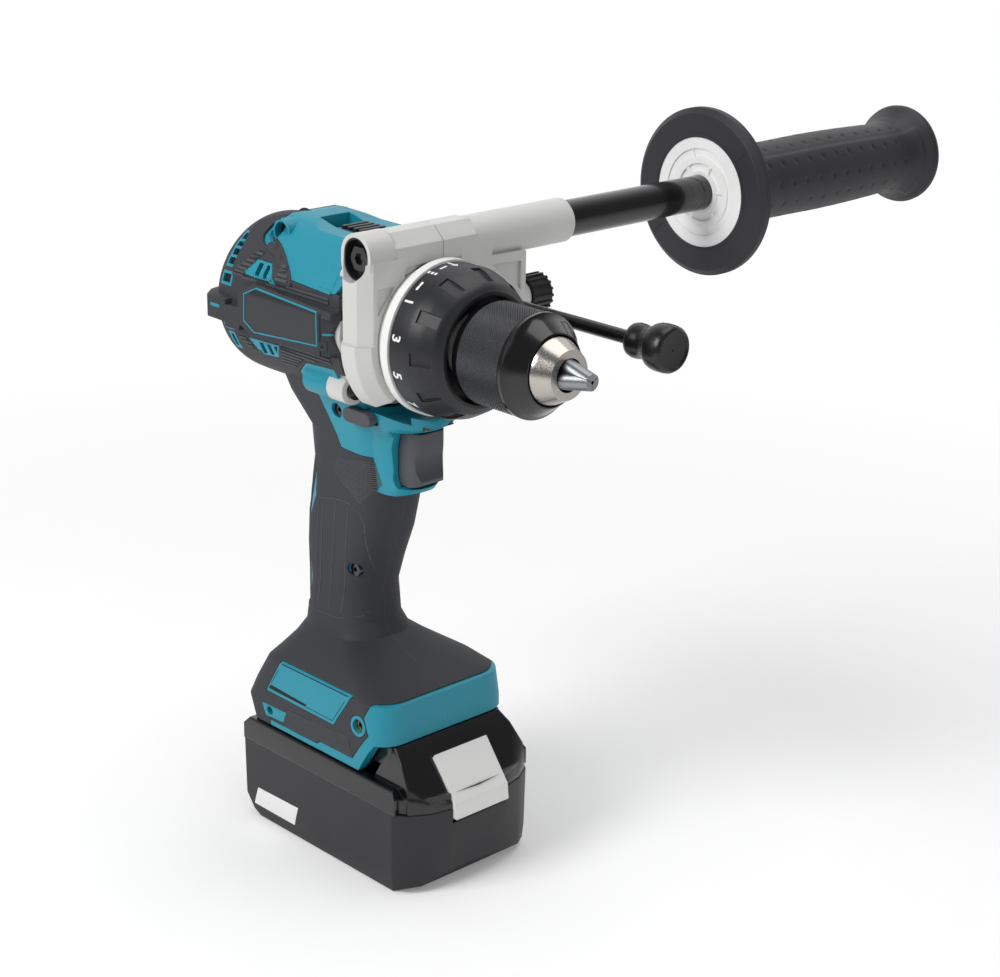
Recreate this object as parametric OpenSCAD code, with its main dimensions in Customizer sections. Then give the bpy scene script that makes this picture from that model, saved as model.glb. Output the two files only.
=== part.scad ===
// Cordless hammer drill with a keyless chuck, a clamp-on side handle and a slide-on battery.
// Frame: +X points out of the chuck, +Y to the side handle's grip, +Z up.
// Origin: centre of the battery's underside, on the surface that the drill stands on.
// The clamshell is moulded in two halves that meet on the plane y = 0.

/* [Chuck axis] */
// Height of the chuck axis above the battery's underside
axis_z = 228.3; // [222:0.1:236]
// Distance from the origin to the front face of the chuck body
nose_x = 106.2; // [105:0.1:112]

/* [Motor housing] */
// Radius of the moulded barrel under its rubber skin
barrel_r = 32.8; // [32.4:0.1:33.6]
// Wall of the barrel
barrel_wall = 2.4; // [2:0.1:2.6]
// Thickness of the rubber skin
skin_t = 1.2; // [0.9:0.1:1.5]
// Where the rear cover meets the barrel
rear_joint_x = -56; // [-58:0.5:-55]
// Where the barrel ends and the gear case shows
barrel_front_x = 6.3; // [5:0.1:7]
// Rise of the flat top above the chuck axis
top_rise = 36.2; // [35:0.1:38]
// Half width of the side bands that carry the rating label
band_y = 37.4; // [36.5:0.1:39]
// Rise of the top in front, round the speed slider
front_rise = 33.4; // [33.3:0.1:34]

/* [Handle] */
// Half width of the slimmest part of the grip
grip_half_w = 15.5; // [15:0.1:17]
// Front-to-back depth of the slimmest part of the grip
grip_depth = 39.5; // [38:0.5:43]
// Wall of the grip and foot mouldings
shell_wall = 2.6; // [2.2:0.1:3]
// Width of the trigger
trigger_w = 17; // [15:0.5:18]
// Travel of the trigger
trigger_travel = 6.5; // [4:0.5:7]

/* [Foot] */
// Height of the foot's front band, lower edge
foot_band_z = 61.2; // [60.5:0.1:63]
// Height of the foot's front band
foot_band_h = 17; // [14:0.5:19]
// Height of the foot's side skirts above the bench
foot_skirt_z = 47.4; // [46.8:0.1:49]
// Half width of the foot
foot_half_w = 36; // [35.5:0.1:36.8]

/* [Battery] */
// Length of the battery at its sides
battery_l = 107; // [105:0.5:109]
// Half width of the battery
battery_half_w = 37.2; // [36.8:0.1:38.5]
// Height of the joint between the battery's two case halves
battery_seam_z = 36; // [32:0.5:38]
// Height of the battery's side ridges
battery_ridge_z = 46.2; // [45:0.1:46.4]
// How far the battery's front bulges at its middle
battery_bulge = 5.5; // [4:0.5:6.5]

/* [Torque ring and chuck] */
// Outer radius of the torque ring
ring_r = 30.6; // [30:0.1:31.2]
// Outer radius of the chuck sleeve
sleeve_r = 20.4; // [20.2:0.1:21]
// Radius of one chuck jaw
jaw_r = 3.6; // [3.4:0.05:3.7]
// Slope of the jaws to the chuck axis
jaw_slope = 15; // [14:0.5:16]
// Travel of a jaw along its own bore
jaw_travel = 25; // [18:0.5:25.5]

/* [Side handle] */
// Rise of the side handle's axis above the chuck axis
handle_rise = 33.2; // [32.5:0.1:35]
// Place of the side handle's axis along the drill
handle_x = 21.5; // [20.8:0.1:22.5]
// Outer radius of the handle's steel tube
tube_r = 7.7; // [7.2:0.1:8]
// Distance from the mid-plane to the end of the clamp's sleeve
sleeve_end_y = 78; // [74:0.5:84]
// Distance from the drill's mid-plane to the end of the grip
grip_end_y = 311.6; // [280:0.5:330]
// Distance from the drill's mid-plane to the hand guard
guard_y = 167.6; // [155:0.5:180]
// Radius of the hand guard
guard_r = 37.1; // [32:0.1:42]
// Radius of the side grip at its waist
grip_r = 16.6; // [15:0.1:18]

/* [Depth rod] */
// Distance from the mid-plane to the depth rod
rod_y = 43; // [42:0.1:45]
// Radius of the depth rod
rod_r = 2.8; // [2.5:0.1:3.2]
// Length of the depth rod without its rubber end
rod_l = 140; // [120:1:160]

/* [Hidden] */
$fn = 64;

// Clearance between pieces that move past each other
gap = 0.3;
// Radial clearance of a shaft or slide in its own bore
fit = 0.05;
// Groove between the rubber skin and the raised teal fields
field_gap = 0.3;
far = 400;

handle_z = axis_z + handle_rise;
battery_front_x = 56;
battery_rear_x = battery_front_x - battery_l;
foot_top_z = foot_band_z + foot_band_h;

// Turned shape about the chuck axis: points are [radius, distance along the axis]
module turned(points, fn = 96)
    translate([0, 0, axis_z]) rotate([0, 90, 0]) rotate_extrude($fn = fn) polygon(points);

// Cylinder along X from x0 to x1, on the chuck axis unless y or rise is given
module bar_x(x0, x1, r, y = 0, rise = 0, fn = 64)
    translate([x0, y, axis_z + rise]) rotate([0, 90, 0]) cylinder(h = x1 - x0, r = r, $fn = fn);

// Hollow cylinder along X on the chuck axis
module pipe_x(x0, x1, outer, inner, fn = 64)
    turned([[inner, x0], [outer, x0], [outer, x1], [inner, x1]], fn);

// Cylinder along Y from y0 to y1 at a place in the XZ plane
module bar_y(y0, y1, r, x, z, fn = 48)
    translate([x, y0, z]) rotate([-90, 0, 0]) cylinder(h = y1 - y0, r = r, $fn = fn);

// Turned shape about an axis along Y: points are [radius, y]
module turned_y(points, x, z, fn = 72)
    translate([x, 0, z]) rotate([-90, 0, 0]) rotate_extrude($fn = fn) polygon(points);

// Side view outline [x, z] pulled out to both sides
module side_cut(points, half_w)
    translate([0, half_w, 0]) rotate([90, 0, 0]) linear_extrude(2 * half_w) polygon(points);

// Box given by its two far corners
module block(low, high)
    translate(low) cube(high - low);

// Keeps what lies on one side of the joint between the two housing halves
module half(side)
    intersection() {
        children();
        translate([-far / 2, side < 0 ? -far : 0, -far / 2]) cube([far, far, 2 * far]);
    }

// Something repeated at both sides of the mid-plane
module both_sides() {
    children();
    mirror([0, 1, 0]) children();
}

// ---- Grip and foot: a loft through thin slices
// [height, rear x, front x, half width, rear corner radius, front corner radius]

grip_mid_x = -19.5;
grip_rear_x = grip_mid_x - grip_depth / 2;
grip_front_x = grip_mid_x + grip_depth / 2;
grip_span = axis_z - 128.3;
function up(t) = foot_top_z + 25 + t * grip_span;

FOOT_SLICES = [
    [foot_skirt_z, -47, 40, foot_half_w - 0.4, 6, 10],
    [foot_band_z - 3.6, -50, 40.6, foot_half_w + 0.2, 6, 11],
    [foot_band_z + 5, -46.5, 41, foot_half_w, 8, 12],
    [foot_top_z - 0.4, -40.5, 40.2, foot_half_w - 0.8, 10, 13],
    [foot_top_z + 3.6, -38.5, 30.5, foot_half_w - 4.6, 12, 14],
    [foot_top_z + 8, -38, 16.5, 24, 13, 14],
    [foot_top_z + 13, -38.2, 5.4, 18, 14, 14],
    [foot_top_z + 19, -38.8, 1.4, 16.2, 13.5, 13.5],
];
GRIP_SLICES = [
    [foot_top_z + 19, -38.8, 1.4, 16.2, 13.5, 13.5],
    [up(0.09), grip_rear_x, grip_front_x, grip_half_w, 13.5, 13],
    [up(0.22), grip_rear_x - 0.4, grip_front_x + 4, grip_half_w + 0.4, 14, 13],
    [up(0.36), grip_rear_x + 0.4, grip_front_x + 9.6, grip_half_w + 0.8, 14.5, 13.5],
    [up(0.5), grip_rear_x + 3.2, grip_front_x + 13.2, grip_half_w + 1, 15, 14],
    [up(0.63), grip_rear_x + 5.2, grip_front_x + 15, grip_half_w + 0.8, 15, 14],
    [up(0.77), grip_rear_x + 4, grip_front_x + 16.6, grip_half_w + 1.2, 15, 14],
    [up(0.9), grip_rear_x - 7, grip_front_x + 17.6, grip_half_w + 3.4, 15, 14],
    [up(1.03), grip_rear_x - 12, grip_front_x + 17, grip_half_w + 6, 15, 14],
];

// Slices give the outer surface: grow = skin_t reaches it, grow = 0 lies under the rubber
arc_steps = 9;

// Outline of a slice: four rounded corners, starting at the front on the +Y side
function corner(x, y, r, turn) =
    [for (i = [0 : arc_steps]) [x + r * cos(turn + 90 * i / arc_steps), y + r * sin(turn + 90 * i / arc_steps)]];
function slice_outline(s, grow) = let (
        rear = s[4] + grow,
        front = s[5] + grow,
        x_rear = s[1] + s[4],
        x_front = s[2] - s[5],
        y_rear = s[3] - s[4],
        y_front = s[3] - s[5]
    ) concat(
        corner(x_front, y_front, front, 0), corner(x_rear, y_rear, rear, 90),
        corner(x_rear, -y_rear, rear, 180), corner(x_front, -y_front, front, 270)
    );

// Skin stretched over a stack of slices
module loft(slices, grow) {
    sides = 4 * (arc_steps + 1);
    levels = len(slices);
    polyhedron(
        [for (s = slices, p = slice_outline(s, grow - skin_t)) [p[0], p[1], s[0]]],
        concat(
            [[for (i = [0 : sides - 1]) i]],
            [for (k = [0 : levels - 2], i = [0 : sides - 1]) let (
                    low = k * sides,
                    next = (i + 1) % sides
                ) each [
                    [low + i, low + sides + i, low + next],
                    [low + next, low + sides + i, low + sides + next],
                ]],
            [[for (i = [0 : sides - 1]) levels * sides - 1 - i]]
        )
    );
}

// ---- Trigger nose: the front of the handle, from the chin under the trigger up to the lamp

nose_front_x = 35;
trigger_top_z = axis_z - 40;
trigger_low_z = trigger_top_z - 24.5;
NOSE_SLICES = [
    [trigger_low_z - 6, -14, 24, 12, 11.8, 11.8],
    [trigger_low_z + 1, -14, 29, 12.6, 12, 12],
    [trigger_low_z + 7, -14, 25.8, 13.4, 13, 13.2],
    [trigger_top_z - 3, -14, 26.8, 15, 14, 14.5],
    [trigger_top_z + 2.5, -14, nose_front_x, 17.4, 16, 16.5],
    [trigger_top_z + 10, -16, nose_front_x, 19.5, 18, 18],
    [axis_z - 20, -18, nose_front_x, 21.5, 18, 18],
];
NOSE_SIDE = [
    [-20, axis_z - 16], [34, axis_z - 16], [34, axis_z - 33.6], [nose_front_x + 1, trigger_top_z + 2.5],
    [nose_front_x - 2, trigger_top_z + 0.4], [21.5, trigger_top_z + 0.4],
    [19.6, trigger_top_z - 8], [19.8, trigger_low_z + 4], [22, trigger_low_z - 0.2],
    [28, trigger_low_z - 0.4], [27.4, trigger_low_z - 2.2], [20, trigger_low_z - 4], [-20, trigger_low_z - 4],
];
// The clamp swings in a round trench over the nose
trench_r = 37.2;
trench_rear_x = barrel_front_x + 4.5;
trench_front_x = 31.2;

// Room in front of the barrel for the gear case, and over the nose for the clamp
module front_room() {
    block([barrel_front_x, -60, axis_z - 15], [80, 60, axis_z + 60]);
    bar_x(barrel_front_x, 40, barrel_r + skin_t + 0.3, fn = 96);
    bar_x(trench_rear_x, trench_front_x, trench_r, fn = 96);
    bar_x(trench_front_x - 1, 60, ring_r + 0.9, fn = 96);
    for (a = GEAR_LUGS)
        at_lug(a) bar_lug(lug_rear_x, 30, lug_r + 0.05);
}

module nose_form()
    intersection() {
        loft(NOSE_SLICES, skin_t);
        side_cut(NOSE_SIDE, 30);
    }

// ---- Motor and bearings: sizes that the housing is built round

stator_r = 26;
stator_rear_x = -52;
stator_front_x = -31;
STATOR_RIBS = [stator_rear_x + 1, stator_front_x - 4];
shaft_r = 2.5;
bearing_r = 6.5;
bearing_w = 5;
rear_bearing_x = -67;
spindle_r = 6;
spindle_bearing_r = 10.4;

// ---- Barrel of the motor housing

TOP_OUTLINE = [
    [6, top_rise + 3], [13.5, top_rise - 0.6], [22.5, top_rise - 7.2], [31.6, 16], [31.6, 0],
    [-31.6, 0], [-31.6, 16], [-22.5, top_rise - 7.2], [-13.5, top_rise - 0.6], [-6, top_rise + 3],
];

// Raised part over the barrel, outline [y, rise] along X
module top_form(grow)
    intersection() {
        translate([rear_joint_x - 1, 0, axis_z]) rotate([90, 0, 90])
            linear_extrude(barrel_front_x - rear_joint_x + 2) offset(delta = grow) polygon(TOP_OUTLINE);
        side_cut([
            [rear_joint_x - 2, axis_z - 1], [barrel_front_x + 3, axis_z - 1],
            [barrel_front_x + 3, axis_z + front_rise + grow], [-20, axis_z + front_rise + 0.6 + grow],
            [-29, axis_z + top_rise + grow], [-37, axis_z + top_rise + 1 + grow],
            [-45, axis_z + top_rise + grow], [rear_joint_x - 2, axis_z + barrel_r - 1.4 + grow],
        ], 40);
    }

// Raised band along each side at mid height, over the part that the side view outline keeps
module band_form(outline)
    intersection() {
        both_sides()
            translate([rear_joint_x - 30, 0, axis_z]) rotate([90, 0, 90]) linear_extrude(120)
                polygon([[-20, -16], [-31, -14], [-band_y + 1.6, -11.4], [-band_y, -9], [-band_y, 9.6],
                         [-band_y + 1.6, 12], [-31, 15], [-20, 17]]);
        side_cut(outline, 60);
    }

BAND_LOW = -8;
BAND_HIGH = 0.8;
BAND_OUTLINE = [
    [rear_joint_x - 2, axis_z + BAND_LOW], [-47, axis_z + BAND_LOW - 0.4], [-46, axis_z - 5.4],
    [-38.1, axis_z - 8.7], [barrel_front_x + 2, axis_z - 7.4], [barrel_front_x + 2, axis_z + 10.6],
    [-38.6, axis_z + 12.6], [-46.6, axis_z + 7.6], [-47, axis_z + BAND_HIGH + 0.6],
    [rear_joint_x - 2, axis_z + BAND_HIGH],
];
REAR_BAND_OUTLINE = [
    [rear_joint_x - 40, axis_z + BAND_LOW], [rear_joint_x + 2, axis_z + BAND_LOW],
    [rear_joint_x + 2, axis_z + BAND_HIGH], [rear_joint_x - 40, axis_z + BAND_HIGH],
];

module barrel_form(grow) {
    bar_x(rear_joint_x - 3, barrel_front_x + 2, barrel_r + grow, fn = 96);
    top_form(grow);
}

// Bosses behind the lugs of the gear case
module lug_form()
    for (a = GEAR_LUGS)
        hull() {
            at_lug(a) bar_lug(lug_rear_x - 15, lug_rear_x + 1, lug_r);
            at_lug(a) translate([0, -8 * cos(a), -8 * sin(a)]) bar_lug(lug_rear_x - 21, lug_rear_x + 1, lug_r);
        }

// Room behind the rear joint, which the rear cover fills
module rear_room()
    block([-100, -60, axis_z - 60], [rear_joint_x, 60, axis_z + 60]);

// Wedge cut that gives the foot's skirts their slanted front
module below_skirt()
    side_cut([[22.8, foot_skirt_z - 4], [34.6, foot_band_z], [60, foot_band_z], [60, foot_skirt_z - 4]], 60);

// Form of the two joined shells under the rubber, or with it
module body_form(grow)
    difference() {
        union() {
            barrel_form(grow);
            loft(concat(FOOT_SLICES, [for (i = [1 : len(GRIP_SLICES) - 1]) GRIP_SLICES[i]]), grow);
        }
        below_skirt();
    }

// ---- Fields of the housing that the rubber leaves open, as side view outlines

module top_field(inset)
    translate([0, 60, 0]) rotate([90, 0, 0]) linear_extrude(120) offset(delta = -inset)
        polygon([[barrel_front_x + 3, axis_z + 16], [-18.5, axis_z + 17.2], [-41.5, axis_z + 31],
                 [-43.5, axis_z + 34], [-41, axis_z + 60], [barrel_front_x + 3, axis_z + 60]]);

module nose_field(inset)
    translate([0, 60, 0]) rotate([90, 0, 0]) linear_extrude(120) offset(delta = -inset)
        polygon([
            [barrel_front_x + 3, axis_z - 13.8], [-12, axis_z - 15.3], [-21.5, axis_z - 22], [-22, axis_z - 27.5],
            [-18.5, axis_z - 31], [-7, axis_z - 53], [12.5, axis_z - 54], [16.5, axis_z - 57],
            [20.5, axis_z - 64], [25, axis_z - 67], [50, axis_z - 72], [50, axis_z - 13.8],
        ]);

module panel_field(inset)
    translate([0, 60, 0]) rotate([90, 0, 0]) linear_extrude(120) offset(delta = -inset)
        polygon([[-26, foot_top_z + 1], [21.4, foot_top_z + 1], [10.4, foot_band_z + 1.2],
                 [-35.2, foot_band_z + 1.8]]);

module patch_field(inset)
    translate([0, 60, 0]) rotate([90, 0, 0]) linear_extrude(120) offset(delta = -inset)
        polygon([[-38.5, foot_skirt_z + 9.4], [-20.8, foot_skirt_z + 9.8], [-23.6, foot_skirt_z + 3.8],
                 [-36, foot_skirt_z + 3.2]]);

boss_x = 25.7;
boss_z = foot_band_z + 6.2;
boss_r = 4.8;

module band_field(inset) {
    translate([0, 60, 0]) rotate([90, 0, 0]) linear_extrude(120) offset(delta = -inset) {
        polygon([
            [60, foot_top_z + 0.4], [32, foot_top_z + 0.4], [29, boss_z + 5], [31.8, foot_band_z + 4],
            [21.8, foot_skirt_z + 4.4], [1, foot_skirt_z + 4.4], [-1.6, foot_skirt_z + 2.6],
            [-33, foot_skirt_z + 2.6], [-33, foot_skirt_z - 2], [60, foot_skirt_z - 2],
        ]);
        translate([boss_x, boss_z]) circle(r = boss_r, $fn = 48);
    }
}

// Cooling vents in the barrel, over the motor: outlines and slots as side views
VENT_HIGH = [[-49, axis_z + 14.4], [-45.7, axis_z + 21.4], [-33.6, axis_z + 21.2], [-27.4, axis_z + 13.2]];
VENT_LOW = [[-48, axis_z - 12], [-26.4, axis_z - 11], [-31.1, axis_z - 18.2], [-43.6, axis_z - 19.4]];
VENT_SLOTS = [[-41, 2.8], [-35.8, 2.4], [-31, 2.2]];

module side_window(outline, inset)
    translate([0, 60, 0]) rotate([90, 0, 0]) linear_extrude(120) offset(delta = -inset) polygon(outline);

module vent_fields(inset) {
    side_window(VENT_HIGH, inset);
    side_window(VENT_LOW, inset);
}

// One upright slot with round ends, from under the lower vent to over the upper one
module vent_slot(x, w)
    translate([x + w / 2, 50, 0]) rotate([90, 0, 0]) linear_extrude(30)
        hull()
            for (rise = [-24, 24])
                translate([0, axis_z + rise]) circle(r = w / 2, $fn = 24);

module vent_slots()
    intersection() {
        vent_fields(1.2);
        for (v = VENT_SLOTS)
            both_sides() vent_slot(v[0], v[1]);
    }

// ---- Screw bosses: [x, z, outer radius, depth of the sunk head from the mid-plane]

BOSSES = [
    [-42, axis_z + 31.4, 5.2, 10, 6],
    [-7, axis_z - 36.6, 4.4, 15, 3],
    [-2.5, foot_top_z + 44, 4.2, 11, 3],
];
screw_r = 1.5;
head_r = 3;

module boss_bores()
    for (b = BOSSES) {
        bar_y(-60, -b[3], b[2] - 1.2, b[0], b[1], 32);
        bar_y(-b[3] - 1, b[3] - 1.5, screw_r + 0.02, b[0], b[1], 24);
    }

// Blind holes in both sides of the foot: the belt hook's threaded insert and its locating hole
insert_r = 3.1;
insert_y = foot_half_w - 8;
locator = [-32.8, foot_skirt_z + 6.7];

module hook_holes(extra)
    both_sides() {
        bar_y(insert_y, 60, insert_r + extra, boss_x, boss_z, 32);
        bar_y(foot_half_w - 3, 60, 2 + extra, locator[0], locator[1], 24);
    }

button_r = 2.9;
button_y = 22.6;
button_cap = 3.4;
button_travel = 3.5;
button_bar = [3, 9.6];
bar_drop = 2.6;
button_z = axis_z - 35;

module button_outline(grow)
    hull()
        for (x = [4.4, 15.2])
            translate([x, button_z]) circle(r = button_r + grow, $fn = 32);

slider_l = 16.5;
slider_travel = 10;
slider_floor_z = axis_z + front_rise - 1.6;

// Space inside the shells
module cavity() {
    bar_x(rear_joint_x - 1, barrel_front_x + 1, barrel_r - barrel_wall, fn = 96);
    difference() {
        union() {
            loft(GRIP_SLICES, -shell_wall);
            block([-26, -13, axis_z - 52], [16, 13, axis_z - 22]);
        }
        // wall between the switch room and the clamp's trench
        block([trench_rear_x - shell_wall, -30, axis_z - trench_r - shell_wall], [60, 30, axis_z]);
    }
    // behind the trigger
    block([2, -trigger_w / 2 - gap, trigger_low_z], [40, trigger_w / 2 + gap, trigger_top_z]);
    // foot, open below for the battery
    block([-46, -foot_half_w + 5, foot_skirt_z - 3], [50, foot_half_w - 5, foot_band_z - 0.2]);
    block([-34, -26, foot_band_z - 1], [36, 26, foot_top_z - 2.2]);
    translate([0, 0, -shell_wall]) loft(concat([for (i = [4 : 7]) FOOT_SLICES[i]], [GRIP_SLICES[1]]), -shell_wall);
    // openings for the direction button, the speed slider and the lamp
    both_sides()
        translate([0, 40, 0]) rotate([90, 0, 0])
            linear_extrude(40 - button_y + button_cap + button_travel + gap) button_outline(gap);
    block([button_bar[0] - gap, -30, button_z - bar_drop - gap], [button_bar[1] + gap, 30, button_z - 0.4 + gap]);
    block([-slider_l - slider_travel - 3.7, -7.8, slider_floor_z], [-3.1, 7.8, axis_z + 60]);
    block([-18, -4, axis_z + 20], [-8, 4, slider_floor_z + 1]);
}

// Inward rails of the foot that hold the battery's head
module foot_rails()
    both_sides()
        block([-44, foot_half_w - 8.4, foot_skirt_z + 0.2], [24, foot_half_w - 4, foot_skirt_z + 3.8]);

module fields(inset) {
    vent_fields(inset);
    top_field(inset);
    nose_field(inset);
    panel_field(inset);
    patch_field(inset);
    band_field(inset);
}

module housing(side)
    color("#1d8fa3")
    half(side)
        difference() {
            union() {
                difference() {
                    union() {
                        body_form(0);
                        lug_form();
                        nose_form();
                        intersection() {
                            body_form(skin_t);
                            fields(field_gap);
                        }
                        for (b = BOSSES)
                            if (b[1] > axis_z)
                                bar_y(-b[3] - b[4], b[3] + b[4], b[2], b[0], b[1]);
                    }
                    cavity();
                }
                intersection() {
                    union() {
                        foot_rails();
                        for (b = BOSSES)
                            bar_y(-b[3] - b[4], b[3] + b[4], b[2], b[0], b[1], 32);
                    }
                    body_form(-0.5);
                }
                for (x = STATOR_RIBS)
                    pipe_x(x, x + 2.5, barrel_r - barrel_wall + 0.4, stator_r + 0.05, 96);
            }
            boss_bores();
            hook_holes(0);
            lens_pocket(0.05);
            vent_slots();
            front_room();
            rear_room();
        }

// Strips along the back of the grip where the shells show
module back_strips()
    both_sides()
        translate([-70, 0, 0]) rotate([90, 0, 90]) linear_extrude(46)
            polygon([[10.2, up(-0.05)], [15.2, up(-0.05)], [15.3, up(0.34)], [17.4, up(0.61)], [15.2, up(0.655)], [10.2, up(0.41)]]);

module rubber(side)
    color("#3a3b3d")
    half(side)
        difference() {
            union() {
                body_form(skin_t);
                band_form(BAND_OUTLINE);
            }
            body_form(0);
            lug_form();
            nose_form();
            cavity();
            fields(0);
            boss_bores();
            hook_holes(0);
            front_room();
            rear_room();
            back_strips();
            for (b = BOSSES)
                if (b[1] > axis_z)
                    bar_y(-60, 60, b[2] + field_gap, b[0], b[1]);
        }

module housing_right() housing(-1);
module housing_left() housing(1);
module rubber_right() rubber(-1);
module rubber_left() rubber(1);

// ---- Rear cover

COVER_DEPTHS = [0, 5, 10, 14, 17, 18.6];
COVER_RADII = [0, -0.5, -2.8, -7.6, -14.6, -22];
function cover_points(grow) = concat(
    [for (i = [0 : 5]) [barrel_r + COVER_RADII[i] + grow, rear_joint_x - COVER_DEPTHS[i] - grow * i / 5]],
    [[0, rear_joint_x - 18.6 - grow], [0, rear_joint_x]]
);
module cover_form(grow)
    turned(cover_points(grow), 96);

// Cooling slots through the dome: [angle above the band, half angle of the opening]
COVER_SLOTS = [[13, 3.6], [38, 14], [-23, 3.6], [-44, 11]];

module cover_slots(extra)
    both_sides()
        for (s = COVER_SLOTS)
            translate([0, 0, axis_z]) rotate([-s[0], 0, 0])
                translate([rear_joint_x - 14.5 - extra, 0, 0]) rotate([90, 0, 90])
                    linear_extrude(9 + 2 * extra)
                        offset(delta = extra)
                            polygon([[-15, -15 * tan(s[1])], [-60, -60 * tan(s[1])],
                                     [-60, 60 * tan(s[1])], [-15, 15 * tan(s[1])]]);

// Bars that cross the larger slots
module cover_bars()
    both_sides()
        for (s = COVER_SLOTS, k = [-1, 1])
            if (s[1] > 5)
                translate([0, 0, axis_z]) rotate([-s[0] - k * s[1] / 3, 0, 0])
                    block([rear_joint_x - 17, -60, -0.8], [rear_joint_x - 4.7, -26, 0.8]);

module rear_cover()
    color("#1d8fa3")
    difference() {
        union() {
            difference() {
                cover_form(0);
                turned([[0, rear_joint_x + 1], [barrel_r - barrel_wall, rear_joint_x + 1],
                        [barrel_r - barrel_wall, rear_joint_x - 4], [barrel_r - 4.8, rear_joint_x - 10],
                        [barrel_r - 10, rear_joint_x - 14], [0, rear_joint_x - 14]]);
                cover_slots(0);
            }
            intersection() {
                cover_form(-0.2);
                cover_bars();
            }
            pipe_x(rear_joint_x - 15, rear_bearing_x + bearing_w, bearing_r + 2.5, bearing_r + 0.02);
            // spigot that centres the cover in the barrel
            turned([
                [barrel_r - barrel_wall - 1.8, rear_joint_x - 3.3], [barrel_r - 1.6, rear_joint_x - 3.3],
                [barrel_r - 1.6, rear_joint_x], [barrel_r - barrel_wall - fit, rear_joint_x],
                [barrel_r - barrel_wall - fit, rear_joint_x + 3], [barrel_r - barrel_wall - 1.8, rear_joint_x + 3],
            ]);
        }
        // the screw boss at the top passes through the spigot
        block([rear_joint_x - 1, -20, axis_z + 20], [rear_joint_x + 4, 20, axis_z + 40]);
    }

module rear_cover_rubber()
    color("#3a3b3d")
    difference() {
        union() {
            cover_form(skin_t);
            intersection() {
                band_form(REAR_BAND_OUTLINE);
                linear_extrude(far) polygon([
                    [rear_joint_x, -60], [rear_joint_x, 60], [rear_joint_x, band_y], [rear_joint_x - 14, band_y - 2],
                    [rear_joint_x - 20, band_y - 11], [rear_joint_x - 21, band_y - 20],
                    [rear_joint_x - 21, 20 - band_y], [rear_joint_x - 20, 11 - band_y],
                    [rear_joint_x - 14, 2 - band_y], [rear_joint_x, -band_y],
                ]);
            }
        }
        cover_form(0);
        cover_slots(0.9);
        bar_x(rear_joint_x - 0.01, rear_joint_x + 10, 60);
    }

// ---- Gear case of cast aluminium, with its collar for the clamp

lug_rear_x = 0.4;
collar_r = 28.5;
collar_rear_x = 12;
collar_front_x = 35;
case_bore = 25.6;
case_rear_x = -20;
case_nose_x = 55;
case_nose_r = 13.6;
front_bearing_x = 49;
lug_r = 6.2;
screw_head_r = 3.8;
lug_at = 33.2;
GEAR_LUGS = [45, 135, 224, 316];

module at_lug(a) {
    out = a > 180 ? lug_at : lug_at - 2.6;
    translate([0, out * cos(a), axis_z + out * sin(a)]) children();
}

module bar_lug(x0, x1, r)
    translate([x0, 0, 0]) rotate([0, 90, 0]) cylinder(h = x1 - x0, r = r, $fn = 36);

module gear_case()
    color("#d9d9d4")
    difference() {
        union() {
            bar_x(barrel_front_x, collar_rear_x, barrel_r - 0.3);
            bar_x(case_rear_x, collar_rear_x, barrel_r - barrel_wall - 0.1);
            bar_x(collar_rear_x - 1, collar_front_x, collar_r);
            bar_x(collar_front_x - 1, case_nose_x, case_nose_r);
            for (a = GEAR_LUGS)
                at_lug(a) bar_lug(lug_rear_x, barrel_front_x + 4, lug_r);
        }
        bar_x(case_rear_x + 5, collar_front_x - 4.5, case_bore);
        bar_x(case_rear_x - 1, case_rear_x + 6, bearing_r + 0.02);
        bar_x(collar_front_x - 6, front_bearing_x + 0.02, 7.4);
        bar_x(front_bearing_x, case_nose_x + 1, spindle_bearing_r + 0.02);
        for (a = GEAR_LUGS)
            at_lug(a) {
                bar_lug(lug_rear_x - 1, barrel_front_x + 5, 2.1);
                bar_lug(barrel_front_x + 4, collar_rear_x + 1, screw_head_r + 0.1);
            }
    }

module gear_case_screws()
    color("#1c1c1d")
    for (a = GEAR_LUGS)
        at_lug(a)
            difference() {
                union() {
                    bar_lug(lug_rear_x, barrel_front_x + 5, 2.08);
                    bar_lug(barrel_front_x + 4, handle_x - bar_half - gap, screw_head_r);
                }
                translate([barrel_front_x + 4.6, 0, 0]) rotate([0, 90, 0]) cylinder(h = 4, r = 1.7, $fn = 6);
            }

module index_ring()
    color("#eceae4")
    pipe_x(collar_front_x, 39, 31.4, collar_r - 6);

module housing_screws()
    color("#26282a")
    for (b = BOSSES)
        difference() {
            union() {
                bar_y(-b[3] - 0.5, b[3] - 2, screw_r, b[0], b[1], 24);
                bar_y(-b[3] - 2.2, -b[3], min(head_r, b[2] - 1.3), b[0], b[1], 32);
            }
            bar_y(-b[3] - 3, -b[3] - 0.8, 1.1, b[0], b[1], 6);
        }

module belt_hook_nuts()
    color("#b8a468")
    both_sides()
        difference() {
            bar_y(insert_y, insert_y + 6, insert_r - 0.02, boss_x, boss_z, 32);
            bar_y(insert_y - 1, insert_y + 7, 1.65, boss_x, boss_z, 32);
        }

// Lamp window in the slanted face over the trigger
module lens_pocket(grow)
    translate([0, 7.6 + grow, 0]) rotate([90, 0, 0]) linear_extrude(15.2 + 2 * grow) offset(delta = grow)
        polygon([[29, axis_z - 33.9], [31.4, axis_z - 33.9], [34.8, trigger_top_z + 2.2], [31.6, trigger_top_z + 1.6]]);

module led_lens()
    color("#e6ecec")
    lens_pocket(0);

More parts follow.
